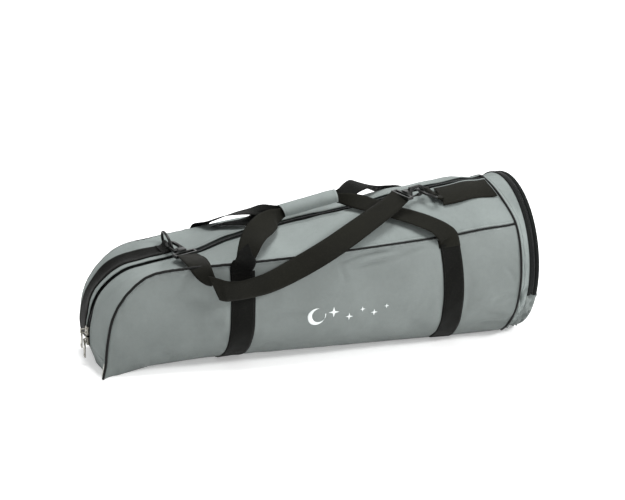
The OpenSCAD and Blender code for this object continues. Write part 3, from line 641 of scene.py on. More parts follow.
# ------------------------------------------------------------------ cloth shell
LOW_EDGE = 0.015  # the side cloth stops just short of the middle of the floor
seam_lines = []
for front in (True, False):
    tag = "front" if front else "rear"
    # side panel, from the floor edge to the piping
    s = np.linspace(0, LAST, steps(330))
    meet = 0.015 if front else 0.0  # the front cord fills the seam, the rear one lies under it
    v = LOW_EDGE + (2 - meet - LOW_EDGE) * np.linspace(0, 1, steps(110))[None, :] + 0 * s[:, None]
    P, N = body(s, v, front)
    wear = 0.5 * bell(v, 0.02, 0.12) + 0.35 * bell(v, 1.97, 0.035)
    side = sheet(tag + "_side_cloth", P, N, 2.0, GREY, not front, wear=wear)
    done(side, tag + "_side_panel")
    if front:
        front_side = side
    # top panel, from the piping to the zip
    s = np.linspace(1.35, LAST, steps(300))
    edge = 3 - gap(s) / rows(s)[:, 4]
    v = 2 + meet + (edge[:, None] - 2 - meet) * np.linspace(0, 1, steps(56))[None, :]
    P, N = body(s, v, front)
    wear = 0.5 * bell(v, edge[:, None], 0.02) + 0.3 * bell(v, 2.015, 0.03)
    done(sheet(tag + "_top_cloth", P, N, 1.9, GREY_LIT, not front, wear=wear), tag + "_gusset")
    # folded lip of the cloth along the zip
    p, n = body(s, edge[:, None], front, -0.6)
    vv, ff, uu = tube(p[:, 0], 1.5, 8, normals=n[:, 0], squash=(1.25, 0.9))
    done(build(tag + "_zip_lip", vv, ff, GREY_LIT, uu))
    # topstitching beside the piping and beside the zip
    for place, a, b in ((lambda s, q: 2 + 5.5 / q[:, 4], 1.4, LAST),
                        (lambda s, q: 2 - 5.5 / (q[:, 3] - q[:, 6]), 0.1, LAST),
                        (lambda s, q: 3 - (gap(s) + 5.5) / q[:, 4], 1.5, LAST - 0.1)):
        ss = np.linspace(a, b, 260)
        p, n = body(ss, place(ss, rows(ss))[:, None], front, 0.1)
        seam_lines.append((p[:, 0], n[:, 0]))
    # piping cord in its black cover
    ss = np.linspace(0.02, LAST - 0.02, steps(420))
    p, n = body(ss, np.full((len(ss), 1), 2.0 if front else 1.97), front, 0.9 if front else -1.1)
    p = p[:, 0]
    p[:, 2] = np.maximum(p[:, 2], 2.7)
    ripple = (2.45 - 0.75 * smooth(ss, 7.0, 11.5)) * (1 + 0.04 * np.sin(np.arange(len(ss)) * 1.9) + 0.02 * np.sin(
        np.arange(len(ss)) * 0.7))
    vv, ff, uu = tube(p, ripple, 10, normals=n[:, 0])
    done(build(tag + "_piping_cord", vv, ff, PIPE, uu), tag + "_piping")
    # zip tape under the cloth edge
    ss = np.linspace(1.4, LAST, steps(260))
    q = rows(ss)[:, 4]
    v = (3 - 18.5 / q)[:, None] + ((18.5 - 0.9) / q)[:, None] * np.linspace(0, 1, 9)[None, :]
    P, N = body(ss, v, front, -2.1, raw=True)
    done(sheet(tag + "_zip_knit", P, N, 0.9, TAPE, not front), tag + "_zip_tape")
done(stitches(seam_lines, THREAD_G, "cloth_topstitching"))

# nose patch under the start of the zip, one piece across both halves
s = np.linspace(0.0, 1.32, 30)
v = 2.015 + (2.995 - 2.015) * np.linspace(0, 1, 30)[None, :] + 0 * s[:, None]
Pf, Nf = body(s, v, True)
Pr, Nr = body(s, v, False)
P = np.concatenate([Pf, Pr[:, ::-1]], 1)
N = np.concatenate([Nf, Nr[:, ::-1]], 1)
done(sheet("nose_patch_cloth", P, N, 1.8, GREY_LIT), "nose_end_patch")

# flat bottom with a rolled edge
DOWN, UP, RIGHT = np.array([0, 0, -1.0]), np.array([0, 0, 1.0]), np.array([1.0, 0, 0])
edge_r, edge_f = [], []
for tuck, out in ((TUCK, edge_r), (0.0, edge_f)):
    for vq in np.arange(2.98, 0.05, -0.1):
        p = skin(np.array([0.0]), np.array([[vq]]), tuck)[0, 0]
        out.append([p[0] + 1.5, max(p[1] - 2.6, 0)])
    for i in range(6, len(T)):
        out.append([T[i][0] - (1.5 if i == len(T) - 1 else 0), T[i][7] - 2.0])
loop = np.array(edge_r + [[p[0], -p[1]] for p in edge_f[::-1]])
rings = []
for inset, z in ((0, 1.6), (0, 0.5), (1.0, 0.06), (6, 0.0), (30, 0.0), (44, 0.0)):
    w = np.maximum(np.abs(loop[:, 1]), 1e-3)
    sc = np.maximum(w - inset, 0.2) / w
    xx = loop[:, 0] + np.where(loop[:, 0] < -390, inset * 0.6, 0) - np.where(loop[:, 0] > 350, min(inset, 4) * 0.3, 0)
    rings.append(np.stack([xx, loop[:, 1] * sc, np.full(len(loop), z)], -1))
R = settle(np.array(rings))
done(sheet("base_cloth", R, DOWN, 1.2, GREY, False, R[..., :2]), "base_panel")

# ------------------------------------------------------------------ round end
ring_noise = waves(41, 18, 60, 14)
LOW = math.radians(61.4)


def ring_points(x, r, th):
    y = np.sin(th) * r
    z = AXIS_Z + np.cos(th) * r
    return np.stack([x + 0 * y, y, z], -1)


def hoop_piece(name, xs, rs, th, material, t, crumple=0.0, wear=None):
    """Cloth hoop: xs and rs give its profile, th its angles from the top; crumple wrinkles its lower parts."""
    X, TH = np.meshgrid(np.asarray(xs, float), th, indexing="ij")
    Rr = np.broadcast_to(np.asarray(rs, float)[:, None], X.shape)
    P = ring_points(X, Rr, TH)
    low = smooth(-np.cos(TH), -0.05, 0.45)
    mid = np.sin(np.linspace(0, np.pi, len(xs)))[:, None]
    amp = crumple * (0.16 + 0.84 * low) * mid
    radial = np.stack([0 * TH, np.sin(TH), np.cos(TH)], -1)
    P = P + radial * (amp * ring_noise(P * [1.6, 1, 1]))[..., None]
    P = P - radial * (amp * 0.8 * np.abs(np.sin(TH * 15 + 3 * np.sin(TH * 5) + X * 0.2)) ** 0.6)[..., None]
    P[..., 2] = np.maximum(P[..., 2], 0.3)
    return sheet(name, settle(P), radial, t, material, uv=np.stack([X, TH * 140], -1), wear=wear)


full = np.linspace(-math.pi, math.pi, steps(420))
w = np.linspace(0, 1, 34)
col = hoop_piece("collar_cloth", SEAM_X + 0.4 + 19.5 * w, 144.6 - 4.4 * smooth(w, 0, 1) + 1.6 * np.sin(np.pi * w)
                 - 1.5 * bell(w, 0.42, 0.05), full, GREY_LIT, 1.8, 5.0)
done(col, "collar")
# piping of the ring seam
th = np.linspace(-math.pi / 2 - LOW, math.pi / 2 + LOW, steps(260))
pts = settle(ring_points(np.full(len(th), SEAM_X + 1.2), np.full(len(th), COLLAR_R + 0.4), th))
vv, ff, uu = tube(pts, 2.0, 10)
done(build("ring_piping_cord", vv, ff, PIPE, uu), "collar_piping")
# black band: zip tape on the collar side, coil, zip tape on the lid side
cut = math.acos((FOLD_Z + 1.0 - AXIS_Z) / LID_R)
th = np.linspace(-cut, cut, steps(300))
done(hoop_piece("collar_zip_knit", [377.0, 378, 381, 383.4], [141.2, 141.7, 141.3, 140.3], th, BLACK_TAPE, 1.1, 0.15),
     "collar_zip_tape")
lid_cut = math.acos((FOLD_Z + 1.4 - AXIS_Z) / LID_R)
th = np.linspace(-lid_cut, lid_cut, steps(300))
done(hoop_piece("lid_zip_knit", [388.6, 390, 393, 395.2, 396.4], [140.3, 141.0, 141.0, 140.2, 138.6], th, BLACK_TAPE,
                1.1, 0.12), "lid_zip_tape", "end_lid")
# lower segment: hoop and its end wall
low_cut = math.acos((FOLD_Z - 1.4 - AXIS_Z) / LID_R)
th = np.linspace(low_cut, 2 * math.pi - low_cut, steps(200))
seg = hoop_piece("lower_end_hoop", np.linspace(377.2, 396, 12), 140.2 - 0.8 * np.linspace(0, 1, 12) ** 6, th,
                 GREY, 1.6, 4.0)
done(seg, "lower_end_segment")


def end_wall(name, z0, z1, radius, x, bulge, t, material, rim=0.0):
    """A round end wall between two heights, slightly domed, as rows of equal height."""
    zz = np.concatenate([[z0], np.linspace(z0 + 1.5, z1 - 0.4, steps(70)), [z1]])
    zz = np.clip(zz, AXIS_Z - radius + 0.3, AXIS_Z + radius - 0.02)
    half_w = np.sqrt(np.maximum(radius ** 2 - (zz - AXIS_Z) ** 2, 0.3))
    uu = np.linspace(-1, 1, steps(90))
    Y = half_w[:, None] * uu[None, :]
    Z = np.broadcast_to(zz[:, None], Y.shape)
    rr = np.sqrt(Y ** 2 + (Z - AXIS_Z) ** 2) / radius
    edge = np.minimum(1 - rr, np.minimum(Z - z0, z1 + 40 - Z) / radius)
    uneven = 0.35 * middle(np.stack([Y, Z, 0 * Y], -1)) * smooth(edge, 0.02, 0.2)
    X = x + bulge * smooth(edge, 0.0, 0.22) + uneven - rim * (1 - smooth(edge, 0, 0.02))
    P = np.stack([X, Y, Z], -1)
    return sheet(name, P, RIGHT, t, material, uv=P[..., 1:])


done(end_wall("lid_cloth", FOLD_Z + 1.4, AXIS_Z + 138.2, 138.2, 395.4, 5.0, 3.2, GREY, 1.2), "end_lid", "end_lid")
done(end_wall("lower_end_wall", 0.4, FOLD_Z - 1.4, 138.6, 395.4, 2.0, 1.5, GREY, 0.8))
fold = np.linspace(-1, 1, 60)
hw = math.sqrt(138.6 ** 2 - (FOLD_Z - AXIS_Z) ** 2)
P = np.stack([np.stack([396.2 + 1.2 * bell(fold, 0, 0.9) + dx, fold * hw, FOLD_Z + dz + 0 * fold], -1)
              for dx, dz in ((0, -4.0), (0.8, -2.4), (1.1, 0), (0.8, 2.4), (0, 4.0))])
fold_cloth = sheet("lid_fold_cloth", P, RIGHT, 0.7, GREY, False, P[..., 1:])
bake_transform(fold_cloth)

# ------------------------------------------------------------------ zip coils
def coil(path, normals, name, pitch=1.55, wide=2.5, tall=1.15, wire=0.5):
    """The teeth of a zip: a flattened wire coil round a core cord."""
    P = np.asarray(path, float)
    L = np.concatenate([[0], np.cumsum(np.linalg.norm(np.diff(P, axis=0), axis=1))])
    turns = L[-1] / pitch * 1.0
    t = np.arange(0, turns, 0.125)
    d = t / turns * L[-1]
    C = np.stack([np.interp(d, L, P[:, i]) for i in range(3)], -1)
    N = unit(np.stack([np.interp(d, L, np.asarray(normals)[:, i]) for i in range(3)], -1))
    U = unit(np.cross(unit(np.gradient(C, axis=0)), N))
    a = t * 2 * np.pi
    line = C + U * (wide * np.cos(a))[:, None] + N * (tall * np.sin(a))[:, None]
    core = P[:: max(1, len(P) // 240)]
    v, f, u = join_parts([tube(line, wire, 4), tube(core, 0.8, 6)])
    return build(name, v, f, COIL, u)


ss = np.linspace(1.32, LAST - 0.02, 500)
p, n = body(ss, np.full((len(ss), 1), 3.0), False, -0.8, raw=True)
p, n = p[:, 0], n[:, 0]
p[:, 1] = 0
n[:, 1] = 0
done(coil(p, unit(n), "main_zip_teeth"), ["nose_zip_coil", "top_zip_coil"])
a = math.asin((FOLD_Z + 5 - AXIS_Z) / LID_R)
th = np.linspace(-(math.pi / 2 - a), math.pi / 2 - a, 300)
pts = ring_points(np.full(300, 386.0), np.full(300, LID_R - 0.2), th)
done(coil(pts, pts * [0, 1, 1] - [0, 0, AXIS_Z], "end_zip_teeth"), "end_zip_coil")

# ------------------------------------------------------------------ webbing
def ribbon(C, n, t=1.5, across=9, cup=0.0, edge_wave=0.0, seed=5, skew=0.0, ribs=0.0):
    """A webbing strip through rows [x, y, z, nx, ny, nz, width]; returns verts, faces, uv and its length."""
    C = np.asarray(C, float)
    # even steps along the strip
    s = np.linspace(0, len(C) - 1, n * 4)
    R = along(C, s)
    L = np.concatenate([[0], np.cumsum(np.linalg.norm(np.diff(R[:, :3], axis=0), axis=1))])
    s = np.interp(np.linspace(0, L[-1], n), L, s)
    R = along(C, s)
    P, N, W = R[:, :3], unit(R[:, 3:6]), R[:, 6]
    tg = unit(np.gradient(P, axis=0))
    U = unit(np.cross(tg, N))
    N = unit(np.cross(U, tg))
    L = np.concatenate([[0], np.cumsum(np.linalg.norm(np.diff(P, axis=0), axis=1))])
    a = np.linspace(-1, 1, across)
    half = [0.5 * t * (1 - abs(x) ** 8 * 0.55) for x in a]
    px = np.concatenate([a, a[::-1]])
    pz = np.array(half + [-h for h in half[::-1]])
    k = len(px)
    wob = waves(seed, 30, 90, 8)(P) * edge_wave
    rib = ribs * np.abs(np.sin(L * np.pi / 3.1)) * (1 - smooth(L, 22, 28))
    off = pz[None, :] * (1 + rib[:, None]) + cup * (px[None, :] ** 2) + wob[:, None] * px[None, :]
    V = P[:, None] + U[:, None] * (px[None, :, None] * W[:, None, None] / 2) + N[:, None] * off[..., None]
    V = V + tg[:, None] * (skew * px[None, :] * np.maximum(1 - L / 45, 0)[:, None])[..., None]
    faces = grid_faces(n, k, True, 0, True).tolist()
    faces += [list(range(k)), list(range((n - 1) * k, n * k))[::-1]]
    uv = np.stack(np.broadcast_arrays(L[:, None], px[None, :] * (C[:, 6].max() / 2)), -1)
    return V.reshape(-1, 3), faces, uv.reshape(-1, 2), L[-1]


def ribbon_piece(name, material, C, n, t, **shape):
    v, f, u, _ = ribbon(C, n, t, **shape)
    return build(name, v, f, material, u)


def strip_on(s0, s1, lo, hi, front, nu, nv, off, t, name, material, raw=False):
    """Webbing sewn on the cloth from lo to hi mm short of the zip: it follows the cloth, off mm above it."""
    s = np.linspace(s0, s1, nu)
    q = rows(s)[:, 4]
    a, b = 3 - lo / q, 3 - hi / q
    v = a[:, None] + (b - a)[:, None] * np.linspace(0, 1, nv)[None, :]
    P, N = body(s, v, front, off + t, raw)
    drop = 0.5 * np.abs(np.linspace(-1, 1, nv)) ** 10
    P = P - N * drop[None, :, None]
    return sheet(name, P, N, t, material, not front), P, N


def band_x(c, lean, v):
    return c + lean * (0.8 - v) * 0.75


thread_lines = []
for front in (True, False):
    tag = "front" if front else "rear"
    parts = []
    for c, lean in BANDS:
        vv_ = np.linspace(0.05, 1.86, steps(90))
        w = np.linspace(-20, 20, 13)
        V2, W2 = np.meshgrid(vv_, w, indexing="ij")
        X = band_x(c, lean, V2) + W2
        S = at_x(X.ravel()).reshape(X.shape)
        P = np.zeros(X.shape + (3,))
        N = np.zeros_like(P)
        for j in range(X.shape[1]):
            pj, nj = body(S[:, j], V2[:, j][:, None], front, 0.4)
            P[:, j], N[:, j] = pj[:, 0], nj[:, 0]
        wid = 1 - np.abs(W2 / 20) ** 10 * 0.4
        P = P + N * (1.5 * wid)[..., None]
        pv, pf = plate(P, N, 1.5, flip=not front)
        run = np.cumsum(np.linalg.norm(np.diff(P, axis=0), axis=-1), 0)
        uv = np.stack([np.concatenate([np.zeros((1, 13)), run]), W2], -1)
        uv = uv.reshape(-1, 2)
        parts.append((pv, pf, np.concatenate([uv, uv])))
        for j in (1, 11):
            thread_lines.append((P[:, j] + N[:, j] * 0.1, N[:, j]))
    v_, f_, u_ = join_parts(parts)
    done(build(tag + "_band_webbing", v_, f_, WEB, u_), tag + "_bands")

# handle webbing from the bands to the wrapped grip
GC, TILT, GL = np.array([7.0, -3, 258]), math.radians(10.4), 50.0
gx = np.array([math.cos(TILT), 0, math.sin(TILT)])
gz = np.array([-math.sin(TILT), 0, math.cos(TILT)])


def grip_at(u, y, h=0.0):
    return list(GC + gx * u + gz * h + np.array([0, y, 0]))


g0f, g1f = grip_at(-GL + 8, -2.4), grip_at(GL - 8, -2.4)
g0r, g1r = grip_at(-GL + 8, 2.4), grip_at(GL - 8, 2.4)


def band_top(c, lean, front, v=1.86):
    """The middle of a band on the cloth, as a ribbon row, for the handle webbing that carries on from it."""
    x = band_x(c, lean, v)
    p, n = body(at_x(np.array([x])), np.array([[v]]), front, 1.75)
    return list(p[0, 0]) + list(n[0, 0]) + [40.2]


ARMS = {
    "front_handle_left": [
        # the band folds over to a point
        [band_top(*BANDS[0], True, 1.80), band_top(*BANDS[0], True, 1.92), [-154.6, -115, 203, 0, -0.97, 0.2, 40],
         [-153, -112, 214, -0.05, -0.95, 0.3, 29], [-149, -107.5, 223, -0.1, -0.9, 0.4, 15],
         [-146, -103, 230, -0.1, -0.8, 0.5, 3]],
        # and comes up behind it, full width, to the grip
        [[-152, -104, 199, -0.1, -0.9, 0.35, 30], [-142, -95, 216, -0.25, -0.85, 0.4, 37],
         [-131, -84, 230, -0.35, -0.8, 0.45, 41], [-115, -68, 239, -0.35, -0.8, 0.45, 43],
         [-95, -50, 243.5, -0.35, -0.85, 0.4, 43], [-74, -30, 245, -0.3, -0.9, 0.3, 36],
         [-56, -13, 245, -0.1, -1, 0.1, 24],
         g0f + [0, -1, 0, 13]]],
    "front_handle_right": [
        [g1f + [0, -1, 0, 14], [66, -7, 262, 0, -1, 0.15, 19], [82, -15, 259.5, 0, -0.9, 0.45, 26],
         [104, -33, 256, 0.05, -0.65, 0.75, 32], [137, -62, 249, 0.05, -0.45, 0.9, 35],
         [172, -86, 241, 0.1, -0.5, 0.85, 37], [205, -107, 229, 0.15, -0.6, 0.8, 38],
         [224, -117.5, 213, 0.1, -0.9, 0.5, 39], band_top(*BANDS[1], True, 1.95), band_top(*BANDS[1], True, 1.80)]],
    "rear_handle_left": [
        [band_top(*BANDS[0], False, 1.80), band_top(*BANDS[0], False, 1.95), [-157, 101, 202, 0, 0.5, 0.85, 34],
         [-146, 80, 213, -0.05, 0.38, 0.93, 33], [-124, 56, 229.5, -0.1, 0.3, 0.95, 33],
         [-100, 34, 240, -0.15, 0.1, 1, 29],
         [-78, 18, 246.5, -0.2, -0.45, 0.9, 26], [-58, 6, 247.5, -0.1, -0.9, 0.5, 19], g0r + [0, -1, 0, 13]],
        # its doubled-over length lies on the top cloth
        [[-148, 70, 205.5, 0, 0.25, 1, 22], [-132, 58, 213, 0, 0.1, 1, 26], [-112, 36, 221.5, 0, -0.2, 1, 28],
         [-94, 17, 231, -0.1, -0.5, 0.85, 26], [-76, 9, 240.5, -0.1, -0.8, 0.6, 20], [-58, 3, 246, 0, -1, 0.2, 12]]],
    "rear_handle_right": [
        [g1r + [0, -1, 0, 14], [69, 4, 266.5, 0, -0.85, 0.5, 22], [84, 12, 269, 0, -0.7, 0.7, 28],
         [106, 26, 272, 0.05, -0.4, 0.9, 34], [131, 46, 265.5, 0.1, 0, 1, 36], [155, 66, 252.5, 0.15, 0.4, 0.9, 37],
         [182, 88, 239.5, 0.1, 0.6, 0.8, 38], [212, 106, 226, 0.1, 0.75, 0.65, 39],
         band_top(*BANDS[1], False, 1.95), band_top(*BANDS[1], False, 1.80)]],
}
arm_nodes = {"front_handle_left": "front_handle_arms", "rear_handle_left": "rear_handle_arms"}
for name, strips in ARMS.items():
    for i, C in enumerate(strips):
        under = len(strips) == 2 and i == (0 if "front" in name else 1)
        # folded-under pieces take the darker webbing copy, which is painted shade
        material = WEB_SHADED if under else STRAP_M if "front" in name else WEB
        ob = ribbon_piece(name + ("_fold" if under else ""), material, C, steps(80), 1.5, cup=0.5, edge_wave=0.5,
                          seed=len(name) + i)
        left = "left" in name
        a0 = (-0.145, 0, 0.21) if left else (0.2, 0, 0.22)
        b0 = (-0.045, 0, 0.245) if left else (0.06, 0, 0.265)
        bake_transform(ob)
        if name in arm_nodes:
            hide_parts(arm_nodes[name])

# webbing inside the wrap
parts = []
for y in (-2.4, 2.4):
    v_, f_, u_, _ = ribbon([grip_at(u, y) + [0, -1, 0, 13] for u in np.linspace(-GL + 0.5, GL - 0.5, 6)], 30, 1.6)
    parts.append((v_, f_, u_))
v_, f_, u_ = join_parts(parts)
done(build("grip_inner_webbing", v_, f_, WEB, u_), "handle_grips", "carry_grip")


# wrapped grip: a soft rolled pad and its closing flap
def roll(u0, u1, a0, a1, r0, r1, name, material, t, skew=0.0, lip=0.0, seed=2):
    """A rolled sheet round the grip's axis from angle a0 to a1 (0 is up, growing towards the front, degrees)."""
    n, m = steps(70), steps(60)
    aa = np.radians(np.linspace(a0, a1, m))
    f = np.linspace(0, 1, m)
    P = np.zeros((n, m, 3))
    N = np.zeros((n, m, 3))
    wv = waves(seed, 14, 50, 10)
    for i, q in enumerate(np.linspace(0, 1, n)):
        u = u0 + (u1 - u0) * q + skew * (1 - f) * (1 - q)
        r = r0 + (r1 - r0) * f
        c = GC + gx * u[:, None]
        d = np.stack([gz[0] * np.cos(aa), -np.sin(aa), gz[2] * np.cos(aa)], -1)
        squeeze = 1 - 0.05 * math.exp(-((q - 0.02) / 0.08) ** 2) - 0.05 * math.exp(-((q - 0.98) / 0.08) ** 2)
        bump = 0.32 * wv(c + d * 10) * math.sin(math.pi * q) ** 0.4
        rr = r * squeeze + bump + lip * bell(f, 1.0, 0.05)
        P[i] = c + d * rr[:, None]
        N[i] = d
    wear = 0.6 * bell(f, 1, 0.03)[None, :] + 0.5 * bell(np.linspace(0, 1, n), 0, 0.02)[:, None] + 0.5 * bell(
        np.linspace(0, 1, n), 1, 0.02)[:, None]
    return sheet(name, P, N, t, material, wear=wear), P, N


wrap, P, N = roll(-GL, GL, -166, 168, 10.4, 10.4, "grip_wrap_cloth", GREY_LIT, 2.2)
done(wrap, "grip_wrap", "carry_grip")
flap, P, N = roll(-GL - 1, GL, -27, 130, 12.7, 12.6, "grip_flap_cloth", GREY_LIT, 1.5, skew=-7.0, lip=1.2, seed=9)
done(flap, "grip_flap", "grip_flap")
flap_lines = [(P[:, -5] + N[:, -5] * 0.1, N[:, -5]), (P[3] + N[3] * 0.1, N[3]), (P[-4] + N[-4] * 0.1, N[-4])]
done(stitches(flap_lines, THREAD_G, "grip_flap_stitching", 2.8, 1.9, 0.2), body_name="grip_flap")

# anchor webbings with the loops round the D-ring bars
NOSE_BAR, LID_BAR = np.array([-243, 36.5, 190.5]), np.array([224, -39.5, 267.5])


def bar_wrap(bar, side, drop, width):
    """Closed webbing loop round a bar along Y, its two tails pressed together and led down to the cloth."""
    start, end = (250, -60) if side > 0 else (-110, 200)
    middle_z = (drop - 1.2) * 0.75
    prof = [(side * 16.5, drop + 1.4), (side * 10, middle_z), (side * 3.6, -4.4)]
    prof += [(-side * 3.9 * math.cos(a), 3.9 * math.sin(a)) for a in np.radians(np.linspace(start, end, 26))]
    prof += [(side * 5.5, -3.6), (side * 10, middle_z + 1.9), (side * 16.5, drop + 3.2)]
    C = np.array([[bar[0] + x, bar[1], bar[2] + z] for x, z in prof])
    N = np.cross(unit(np.gradient(C, axis=0)), [0, 1.0, 0])
    return [list(c) + list(n) + [width] for c, n in zip(C, N)]


for end, ends, lo, hi, front, n_, off, material, bar, side, drop in (
        ("nose", (1.5, at_x(-257)), 58, 15, False, steps(150), 0.5, WEB, NOSE_BAR, -1, -9),
        ("lid", (at_x(238), LAST - 0.12), 66, 18, True, steps(60), 2.4, STRAP_M, LID_BAR, 1, -7.6)):
    strip, P, N = strip_on(*ends, lo, hi, front, n_, 15, off, 1.6, end + "_anchor_strip", material, raw=front)
    done(strip, end + "_anchor_webbing")
    for j in (1, 13):
        thread_lines.append((P[:, j] + N[:, j] * 0.1, N[:, j]))
    done(ribbon_piece(end + "_anchor_loop", material, bar_wrap(bar, side, drop, 43), 90, 1.4))
done(stitches(thread_lines, THREAD_B, "webbing_stitching", 3.0, 2.1, 0.22))

# shoulder strap: down from the nose hook, folded over, and up along the case to the lid hook
STRAP = [
    [-216, -127, 165, -0.25, -1, -0.1, 38], [-195, -130, 158.5, -0.1, -1, -0.2, 40],
    [-177, -131.5, 157, 0, -1, -0.25, 40],
    [-158, -132, 158, 0, -1, -0.2, 40], [-113, -130, 166, 0, -1, 0, 40], [-57, -125, 186, 0, -0.95, 0.3, 40],
    [3, -115, 210, 0, -0.8, 0.6, 40], [66, -94, 235, 0, -0.6, 0.75, 40], [124, -70, 257, -0.05, -0.4, 0.9, 40],
    [150, -58, 268, -0.1, -0.3, 0.95, 40], [160, -53.5, 273.5, -0.1, -0.25, 0.95, 40]]
DROP = [
    [-230.5, -25, 193.5, 0.05, -0.15, 1, 40], [-230, -36, 195, 0.05, -0.1, 1, 42], [-231, -55, 197.5, 0, -0.1, 1, 43],
    [-231, -78, 198, -0.1, -0.4, 0.9, 40], [-230, -98, 193.5, -0.25, -0.75, 0.55, 36],
    [-227, -112, 186, -0.35, -0.9, 0.25, 31],
    [-221, -118.5, 178, -0.35, -0.9, 0.1, 24], [-213, -121, 172, -0.3, -0.95, 0, 16]]
parts, lengths = [], []
for C, n_, wob in ((DROP, steps(90), 0.3), (STRAP, steps(240), 0.35)):
    main = C is STRAP
    v_, f_, u_, L = ribbon(C, n_, 1.5, cup=0.3, edge_wave=wob, seed=31, skew=17 if main else 0, ribs=1.5 if main else 0)
    parts.append((v_, f_, u_))
    lengths.append(L)
v_, f_, u_ = join_parts(parts)
strap = build("shoulder_strap_webbing", v_, f_, STRAP_M, u_)
done(strap, "shoulder_strap")

# ------------------------------------------------------------------ hardware with rounded edges
def rounded(node, material, width=0.0004, segments=2):
    """The CAD piece with its edges rounded over, on the same body."""
    src = frame["nodes"][node]
    me = src.data.copy()
    ob = bpy.data.objects.new(node + "_rounded", me)
    scene.collection.objects.link(ob)
    me.materials.clear()
    me.materials.append(material)
    bm = bmesh.new()
    bm.from_mesh(me)
    bmesh.ops.remove_doubles(bm, verts=bm.verts, dist=1e-6)
    bmesh.ops.dissolve_limit(bm, angle_limit=math.radians(1.5), verts=bm.verts, edges=bm.edges)
    bm.to_mesh(me)
    bm.free()
    me.shade_smooth()
    mod = ob.modifiers.new("edge", "BEVEL")
    mod.width = width
    mod.segments = segments
    mod.limit_method = "ANGLE"
    mod.angle_limit = math.radians(35)
    mod.use_clamp_overlap = True
    mod.harden_normals = False
    done(ob, node, src["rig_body"])


for node in ("nose_d_ring", "lid_d_ring", "nose_hook_eye", "lid_hook_eye", "nose_hook", "lid_hook", "nose_hook_gate",
             "lid_hook_gate"):
    rounded(node, PLASTIC, 0.0005)
for node in ("end_zip_slider", "end_zip_pull", "lower_nose_slider", "lower_nose_pull", "upper_nose_slider",
             "upper_nose_pull"):
    rounded(node, METAL, 0.0003)

# ------------------------------------------------------------------ printed mark: crescent and stars, laid on the cloth
bpy.context.view_layer.update()
bvh = BVHTree.FromPolygons([v.co[:] for v in front_side.data.vertices],
                           [p.vertices[:] for p in front_side.data.polygons])


def star(cx, cz, r):
    k = np.arange(8)
    rr = np.where(k % 2 == 0, r, r * 0.3)
    return np.stack([cx + rr * np.sin(np.radians(45 * k)), cz + rr * np.cos(np.radians(45 * k))], -1)


a_out = np.radians(np.linspace(55, 345, 34))
outer = np.stack([-23 + 16 * np.cos(a_out + 0.5), 90 + 16 * np.sin(a_out + 0.5)], -1)
a_in = np.radians(np.linspace(345, 55, 34))
inner = np.stack([-18.3 + 13 * np.cos(a_in + 0.5), 92.2 + 13 * np.sin(a_in + 0.5)], -1)
mv, mf = [], []


def onto(x, z):
    hit, nrm, _, _ = bvh.ray_cast(Vector((x / 1000, -0.4, z / 1000)), Vector((0, 1, 0)))
    return (hit + nrm * (0.00022 if nrm.y < 0 else -0.00022)) * 1000


for i in range(34):
    o, q = outer[i], inner[33 - i]
    for f in np.linspace(0, 1, 5):
        mv.append(onto(*(o + (q - o) * f)))
for i in range(33):
    for j in range(4):
        b0 = i * 5 + j
        mf.append((b0, b0 + 5, b0 + 6, b0 + 1))
for cx, cz, r in ((9, 96, 10), (38, 85, 7), (62, 97, 5), (85, 88, 6.5), (108, 98, 4.5)):
    pts = star(cx, cz, r)
    c = len(mv)
    mv.append(onto(cx, cz))
    for k in range(8):
        for f in (0.35, 0.7, 1.0):
            mv.append(onto(cx + (pts[k][0] - cx) * f, cz + (pts[k][1] - cz) * f))
    for k in range(8):
        a0, b0 = c + 1 + 3 * k, c + 1 + 3 * ((k + 1) % 8)
        mf.append((c, a0, b0))
        mf += [(a0, a0 + 1, b0 + 1, b0), (a0 + 1, a0 + 2, b0 + 2, b0 + 1)]
mark = build("pale_mark", np.array([list(p_) for p_ in mv]), mf, PRINT, np.array([[p_[0], p_[2]] for p_ in mv]))
sol = mark.modifiers.new("t", "SOLIDIFY")
sol.thickness = 0.00012
done(mark, "printed_emblem")

# ------------------------------------------------------------------ padding and lining under the cloth
for front in (True, False):
    tag = "front" if front else "rear"
    ss = np.linspace(0.3, LAST - 0.08, steps(150))
    for name, lo_v, hi_v, mm, depth, t, material, slot in (
            ("side_foam", 0.25, 1.93, None, 2.6, 3.4, FOAM, "foam"),
            ("top_foam", 2.14, None, 24, 2.5, 3.2, FOAM, "foam"),
            ("lining", 0.2, 1.82, None, 7.2, 0.8, LINING, "inner_lining"),
            ("top_lining", 2.2, None, 26, 7.2, 0.8, LINING, "inner_lining")):
        top = np.full(len(ss), hi_v) if hi_v else 3 - mm / rows(ss)[:, 4]
        s_ = np.maximum(ss, 1.4) if name in ("top_foam", "top_lining") else ss
        low_v = np.maximum(lo_v, 0.7 * (1 - smooth(s_, 6.0, 7.0)))
        v = low_v[:, None] + (top - low_v)[:, None] * np.linspace(0, 1, steps(60))[None, :]
        P, N = body(s_, v, front, -depth)
        P[..., 2] = np.maximum(P[..., 2], 4.5)
        ob = sheet(tag + "_" + name + "_sheet", P, N, t, material, not front)
        done(ob, [] if name == "top_lining" else tag + "_" + name)
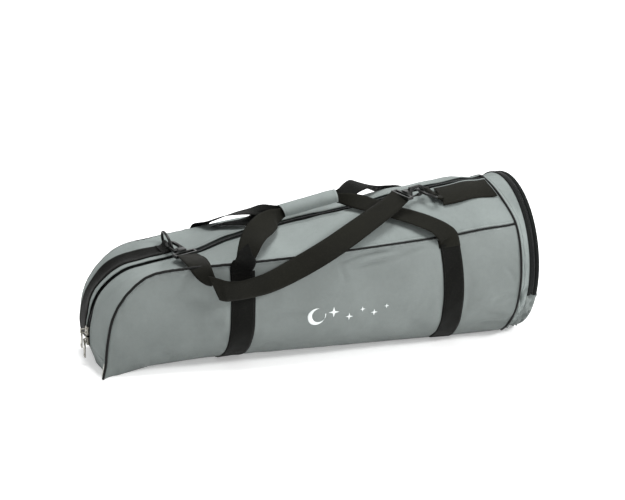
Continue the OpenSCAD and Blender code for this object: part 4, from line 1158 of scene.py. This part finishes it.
# lining of the floor, and of the lid
FLOOR_TOP = 6.0
ef, er = np.array(edge_f), np.array(edge_r)
xs = np.linspace(-386, 372, steps(160))
lo_y, hi_y = -np.interp(xs, ef[:, 0], ef[:, 1]) + 9.5, np.interp(xs, er[:, 0], er[:, 1]) - 9.5
P = np.zeros((len(xs), steps(50), 3))
P[..., 0] = xs[:, None]
P[..., 1] = lo_y[:, None] + (hi_y - lo_y)[:, None] * np.linspace(0, 1, P.shape[1])
P[..., 2] = FLOOR_TOP
P[..., 2] += 0.3 * middle(P)
done(sheet("floor_lining_cloth", P, UP, 0.8, LINING, False, P[..., :2]), "floor_lining")
done(end_wall("lid_lining_cloth", FOLD_Z + 3, AXIS_Z + 135, 135, 389.2, 0.0, 0.8, LINING), "lid_lining", "end_lid")
# the two hard boards keep their CAD shape
for node in ("lid_stiffener", "base_board"):
    boards = frame["nodes"][node].data.materials
    boards.clear()
    boards.append(BOARD)

# ------------------------------------------------------------------ floor and light
fl = bpy.data.meshes.new("floor")
fl.from_pydata([(-30, -30, -0.0006), (30, -30, -0.0006), (30, 30, -0.0006), (-30, 30, -0.0006)], [], [(0, 1, 2, 3)])
floor = bpy.data.objects.new("floor", fl)
scene.collection.objects.link(floor)
fl.materials.append(Mat("floor_white").set(Base_Color=(0.9, 0.9, 0.9, 1), Roughness=0.9, Specular_IOR_Level=0.1,
                                           Emission_Color=(1, 1, 1, 1), Emission_Strength=0.32))


def area(name, place, target, size, energy):
    d = bpy.data.lights.new(name, "AREA")
    d.shape = "RECTANGLE"
    d.size, d.size_y = size
    d.energy = energy
    o = bpy.data.objects.new(name, d)
    scene.collection.objects.link(o)
    o.location = place
    o.rotation_mode = "QUATERNION"
    o.rotation_quaternion = (Vector(place) - Vector(target)).to_track_quat("Z", "Y")


area("key", (1.7, -1.35, 1.5), (0.2, 0, 0.1), (0.6, 0.5), 45)
area("fill", (-2.6, -2.4, 1.1), (-0.1, 0, 0.1), (1.6, 1.2), 2)
area("top", (-0.1, 0.0, 2.5), (-0.05, 0, 0.1), (1.1, 0.9), 52)
area("back", (0.6, 2.6, 1.6), (0, 0, 0.15), (2.0, 1.2), 14)
world = bpy.data.worlds.new("studio")
scene.world = world
world.use_nodes = True
world.node_tree.nodes["Background"].inputs[0].default_value = (1, 1, 1, 1)
world.node_tree.nodes["Background"].inputs[1].default_value = 0.6
scene.view_settings.view_transform = "Standard"
